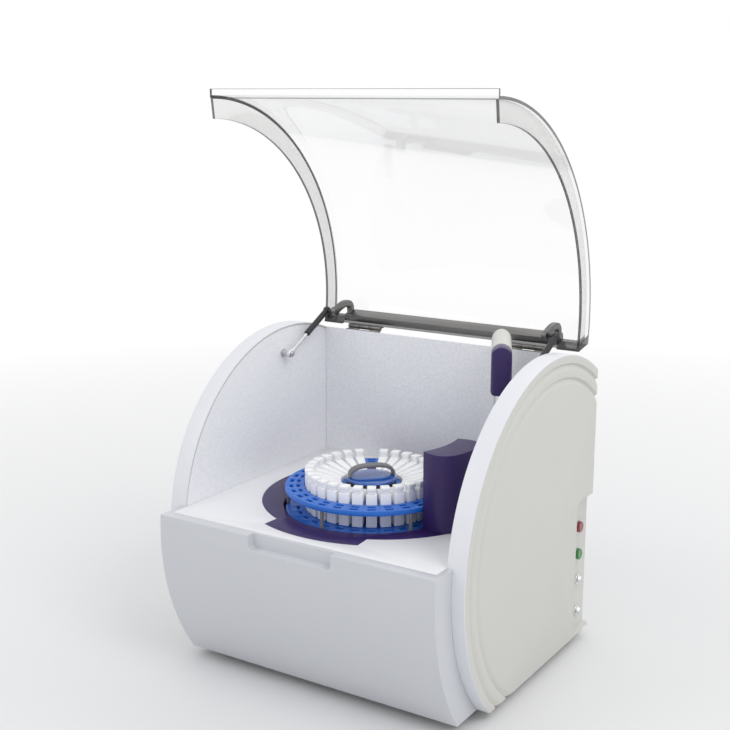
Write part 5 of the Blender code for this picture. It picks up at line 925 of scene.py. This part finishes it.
# Hinge bar, goosenecks and hinges
refined("hingeBar", "hinge_bar", metals["barMetal"], "lid", bevel=0.8 * mm)
for side in ("left", "right"):
    refined(side + "Gooseneck", side + "_gooseneck", metals["barMetal"], "lid", bevel=0.7 * mm)
    refined(side + "MovingLeaf", side + "_moving_leaf", metals["barMetal"], "lid", bevel=0.2 * mm)
    refined(side + "FixedLeaf", side + "_fixed_leaf", metals["barMetal"], "housing", bevel=0.2 * mm)
print("hinges made")

# Gas struts: ball stud, rod with its eye, tube with its upper pivot
strut = {"x": 200 * mm, "y": -22 * mm, "z": 407.6 * mm, "upperY": 80 * mm, "upperZ": 460.7 * mm,
    "rod": 2.6 * mm, "tube": 4.75 * mm, "start": 51.5 * mm, "eye": 6.6 * mm, "half": 4 * mm, "pin": 3 * mm,
    "gap": 0.3 * mm, "bore": 3.1 * mm, "endWall": 4 * mm, "pivotReach": -11.7 * mm, "pivotFlat": 5 * mm}
# Sections in millimetres: places along the axis, and radii
ballLine = ((213.4, 0), (213.4, 6), (211.2, 6), (211.2, 4.4), (204.6, 4.4), (204.6, 3), (195.4, 3),
    (195.4, 4.4), (193.9, 4.2), (193.2, 3), (193.2, 0))
rodLine = ((4.4, 3.6), (13, 3.6), (14, 2.6), (85, 2.6))
sealLine = ((0, 4.2), (0.6, 4.75), (4, 4.75), (4.4, 4.4), (5.2, 4.4), (5.6, 4.75))
run = Vector((0, strut["upperY"] - strut["y"], strut["upperZ"] - strut["z"]))
strutAngle, strutLength = math.atan2(run.z, run.y), run.length
for side, sign in (("left", -1), ("right", 1)):
    strutTurn = (Matrix.Translation((sign * strut["x"], strut["y"],
        strut["z"])) @ Matrix.Rotation(strutAngle, 4, "X"))
    eye, half, pin = strut["eye"], strut["half"], strut["pin"]
    ball = [(sign * x * mm, r * mm) for x, r in ballLine]
    build(side + "BallStud", turned(ball, (strut["y"], strut["z"]), "X", 48), metals["steel"], "housing",
        side + "_ball_stud", bevel=0.3 * mm, angle=50)
    hole = pin + strut["gap"]
    ringProfile = [(half * math.sin(a), hole + (eye - hole) * math.cos(a) ** 0.45)
        for a in (math.radians(d) for d in range(-75, 76, 10))]
    ringProfile = [(-half, hole)] + ringProfile + [(half, hole)]
    rod = rawObject(side + "StrutRod", turned(ringProfile, (0, 0), "X", 48, True), strutTurn)
    carve(rod, turned([(y * mm, r * mm) for y, r in rodLine], (0, 0), "Y", 32), "UNION", strutTurn)
    dress(rod, metals["chrome"], side + "_rod", side + "_strut_rod", bevel=0.2 * mm, angle=50)
    end, boreEnd = strutLength - eye, strutLength - eye - strut["endWall"]
    seal = [(strut["start"] + y * mm, r * mm) for y, r in sealLine]
    tube = rawObject(side + "StrutTube", turned([(boreEnd, 0), (boreEnd, strut["bore"]),
        (strut["start"], strut["bore"])] + seal + [(end, strut["tube"]), (end + eye / 2, strut["rod"]),
        (strutLength, strut["rod"]), (strutLength, 0)], (0, 0), "Y", 40), strutTurn)
    flat = strut["pivotFlat"]
    pivot = [(strut["pivotReach"], 0), (strut["pivotReach"], pin), (-half, pin), (-half, flat), (0, eye),
        (half, flat), (half, 0)]
    carve(tube, turned([(sign * x, r) for x, r in pivot], (strutLength, 0), "X", 40), "UNION", strutTurn)
    dress(tube, metals["darkTube"], side + "_tube", side + "_strut_tube", bevel=0.3 * mm, angle=50)
print("struts made")

# Buttons, their bezels and the hose fittings in the recess
controls = {"y": 109 * mm, "red": 169.5 * mm, "green": 126.5 * mm, "radius": 8.5 * mm,
    "fittingY": 113.5 * mm, "upper": 84 * mm, "lower": 33.5 * mm, "stem": 3 * mm, "stemLength": 8 * mm,
    "lift": 2.6 * mm, "skirt": 2.4 * mm, "crown": 2.1 * mm, "inset": 1.6 * mm}
floorX = recess["floor"]
# Sections in millimetres: heights over the recess floor, and radii
bezelLine = ((-0.3, 9.1), (-0.3, 10.6), (1.2, 10.4), (1.4, 9.6), (1.2, 9.1))
barbLine = ((-5, 2.5), (-5, 4), (0.3, 4), (0.3, 8), (2.2, 8), (2.9, 7.3), (2.9, 4.3), (4.6, 4.2),
    (4.8, 5.5), (6.6, 4.2), (6.7, 4.9), (8.5, 3.5), (8.5, 2.5))
dishLine = ((4.1, 3.5), (3.9, 0))                   # the dished middle of a button, over its base


def fromFloor(line, base):
    return [(base + x * mm, r * mm) for x, r in line]


for name, body, z, material in (("red", "red_push", controls["red"], moulded["redCap"]),
        ("green", "green_push", controls["green"], moulded["greenCap"])):
    base, radius, stem = floorX + controls["lift"], controls["radius"], controls["stem"]
    root, skirt = floorX - controls["stemLength"], base + controls["skirt"]
    crown = [(root, 0), (root, stem), (base, stem), (base, radius), (skirt, radius)]
    crown += [(skirt + controls["crown"] * math.sin(turn), radius - controls["inset"] * (1
        - math.cos(turn))) for turn in (k * math.pi / 16 for k in range(1, 9))]
    crown += fromFloor(dishLine, base)
    build(name + "Button", turned(crown, (controls["y"], z), "X", 64), material, body, name + "_button")
    build(name + "Bezel", turned(fromFloor(bezelLine, floorX), (controls["y"], z), "X", 64, True),
        metals["chrome"], "housing")
for name, node in (("upperFitting", "upper_fitting"), ("lowerFitting", "lower_fitting")):
    z = controls[name[:5]]
    build(name, turned(fromFloor(barbLine, floorX), (controls["fittingY"], z), "X", 48, True),
        metals["chrome"], "housing", node, bevel=0.15 * mm, angle=40)

# Rubber feet with a soft lower edge
feet = {"x": 180 * mm, "front": -198 * mm, "rear": 110 * mm}
footLine = ((-14, 0), (-14, 15.2), (-13.3, 16.3), (-11, 17.2), (-2, 20.2), (-0.3, 20.4), (-0.3, 0))
for end in ("front", "rear"):
    for side, sign in (("left", -1), ("right", 1)):
        build(end + side.capitalize() + "Foot", turned([(z * mm, r * mm) for z, r in footLine],
            (sign * feet["x"], feet[end]), "Z", 64), moulded["rubber"], "housing",
            end + "_" + side + "_foot")

repaint(metals["zinc"], "base_pan", "drive_bracket", "probe_carriage", "power_supply")
repaint(metals["brass"], "carousel_bearing", "carousel_gear")
repaint(metals["steel"], "carousel_shaft", "drive_pinion", "left_rear_screw", "right_rear_screw")
repaint(moulded["arcBlack"], "carousel_motor", "photometer_module", "fan_frame", "fan_rotor", "power_inlet")
repaint(moulded["boardGreen"], "circuit_board", "switch_board")
print("controls, feet and inner pieces done")

# Floor that fades to white far off, soft lamps and the camera
studio = {"floor": 9.0, "floorColour": (0.80, 0.805, 0.815), "fadeFrom": 0.55, "fadeTo": 2.4, "world": 0.80,
    "camera": (0.90645, -1.4455, 0.81975), "yaw": 0.572, "pitch": 0.220, "lens": 60.43,
    "target": (0, 0, 0.30)}
floorMesh = bpy.data.meshes.new("floor")
reach = studio["floor"]
corners = [(x * reach, y * reach, 0) for x, y in ((-1, -1), (1, -1), (1, 1), (-1, 1))]
floorMesh.from_pydata(corners, [], [(0, 1, 2, 3)])
floor = bpy.data.objects.new("floor", floorMesh)
bpy.context.scene.collection.objects.link(floor)
floorFinish, floorTree, floorShader = blankFinish("floorFinish",
    {"colour": studio["floorColour"], "roughness": 0.6, "specular": 0.2})
at = spread(floorTree)
away = at.make("ShaderNodeVectorMath", {"operation": "LENGTH"}, {0: at}, "Value")
fade = away.between(studio["fadeFrom"], studio["fadeTo"])
rays = at.make("ShaderNodeLightPath", out="Is Camera Ray")
white = at.make("ShaderNodeEmission", {}, {"Color": (1, 1, 1, 1), "Strength": 1.0})
mixed = at.make("ShaderNodeMixShader", {}, {0: fade * rays, 1: Wire(floorTree, floorShader.outputs[0]),
    2: white})
floorTree.links.new(mixed.socket, floorTree.nodes["Material Output"].inputs["Surface"])
floorMesh.materials.append(floorFinish)

world = bpy.data.worlds.new("studioWorld")
bpy.context.scene.world = world
world.use_nodes = True
worldTree = world.node_tree
backdrop = worldTree.nodes["Background"]
seen = Wire(worldTree).make("ShaderNodeLightPath", out="Is Camera Ray")
mirrored = Wire(worldTree).make("ShaderNodeLightPath", out="Is Glossy Ray")
through = Wire(worldTree).make("ShaderNodeLightPath", out="Is Transmission Ray")
shown = seen.sum("MAXIMUM", seen, mirrored.sum("MAXIMUM", mirrored, through))
worldTree.links.new((shown * (1 - studio["world"]) + studio["world"]).socket, backdrop.inputs["Strength"])
backdrop.inputs["Color"].default_value = (1, 1, 1, 1)

lamps = {
    "keyLamp": {"at": (2.1, -0.7, 2.7), "size": 1.7, "power": 24, "colour": (1.0, 0.99, 0.97)},
    "fillLamp": {"at": (-1.7, -1.8, 2.2), "size": 1.8, "power": 10, "colour": (0.98, 0.99, 1.0)},
    "backLamp": {"at": (0.3, 1.8, 2.4), "size": 1.5, "power": 8, "colour": (0.96, 0.98, 1.0)},
}
target = Vector(studio["target"])
for name, lamp in lamps.items():
    light = bpy.data.lights.new(name, "AREA")
    light.shape = "DISK"
    light.size = lamp["size"]
    light.energy = lamp["power"]
    light.color = lamp["colour"]
    made = bpy.data.objects.new(name, light)
    made.location = lamp["at"]
    made.rotation_euler = (Vector(lamp["at"]) - target).to_track_quat("Z", "Y").to_euler()
    bpy.context.scene.collection.objects.link(made)

lensData = bpy.data.cameras.new("camera")
lensData.lens = studio["lens"]
lensData.sensor_width = 36
lensData.clip_end = 100
camera = bpy.data.objects.new("camera", lensData)
camera.location = studio["camera"]
camera.rotation_euler = (math.pi / 2 - studio["pitch"], 0, studio["yaw"])
bpy.context.scene.collection.objects.link(camera)
bpy.context.scene.camera = camera
bpy.context.scene.view_settings.view_transform = "Standard"
print("studio made")
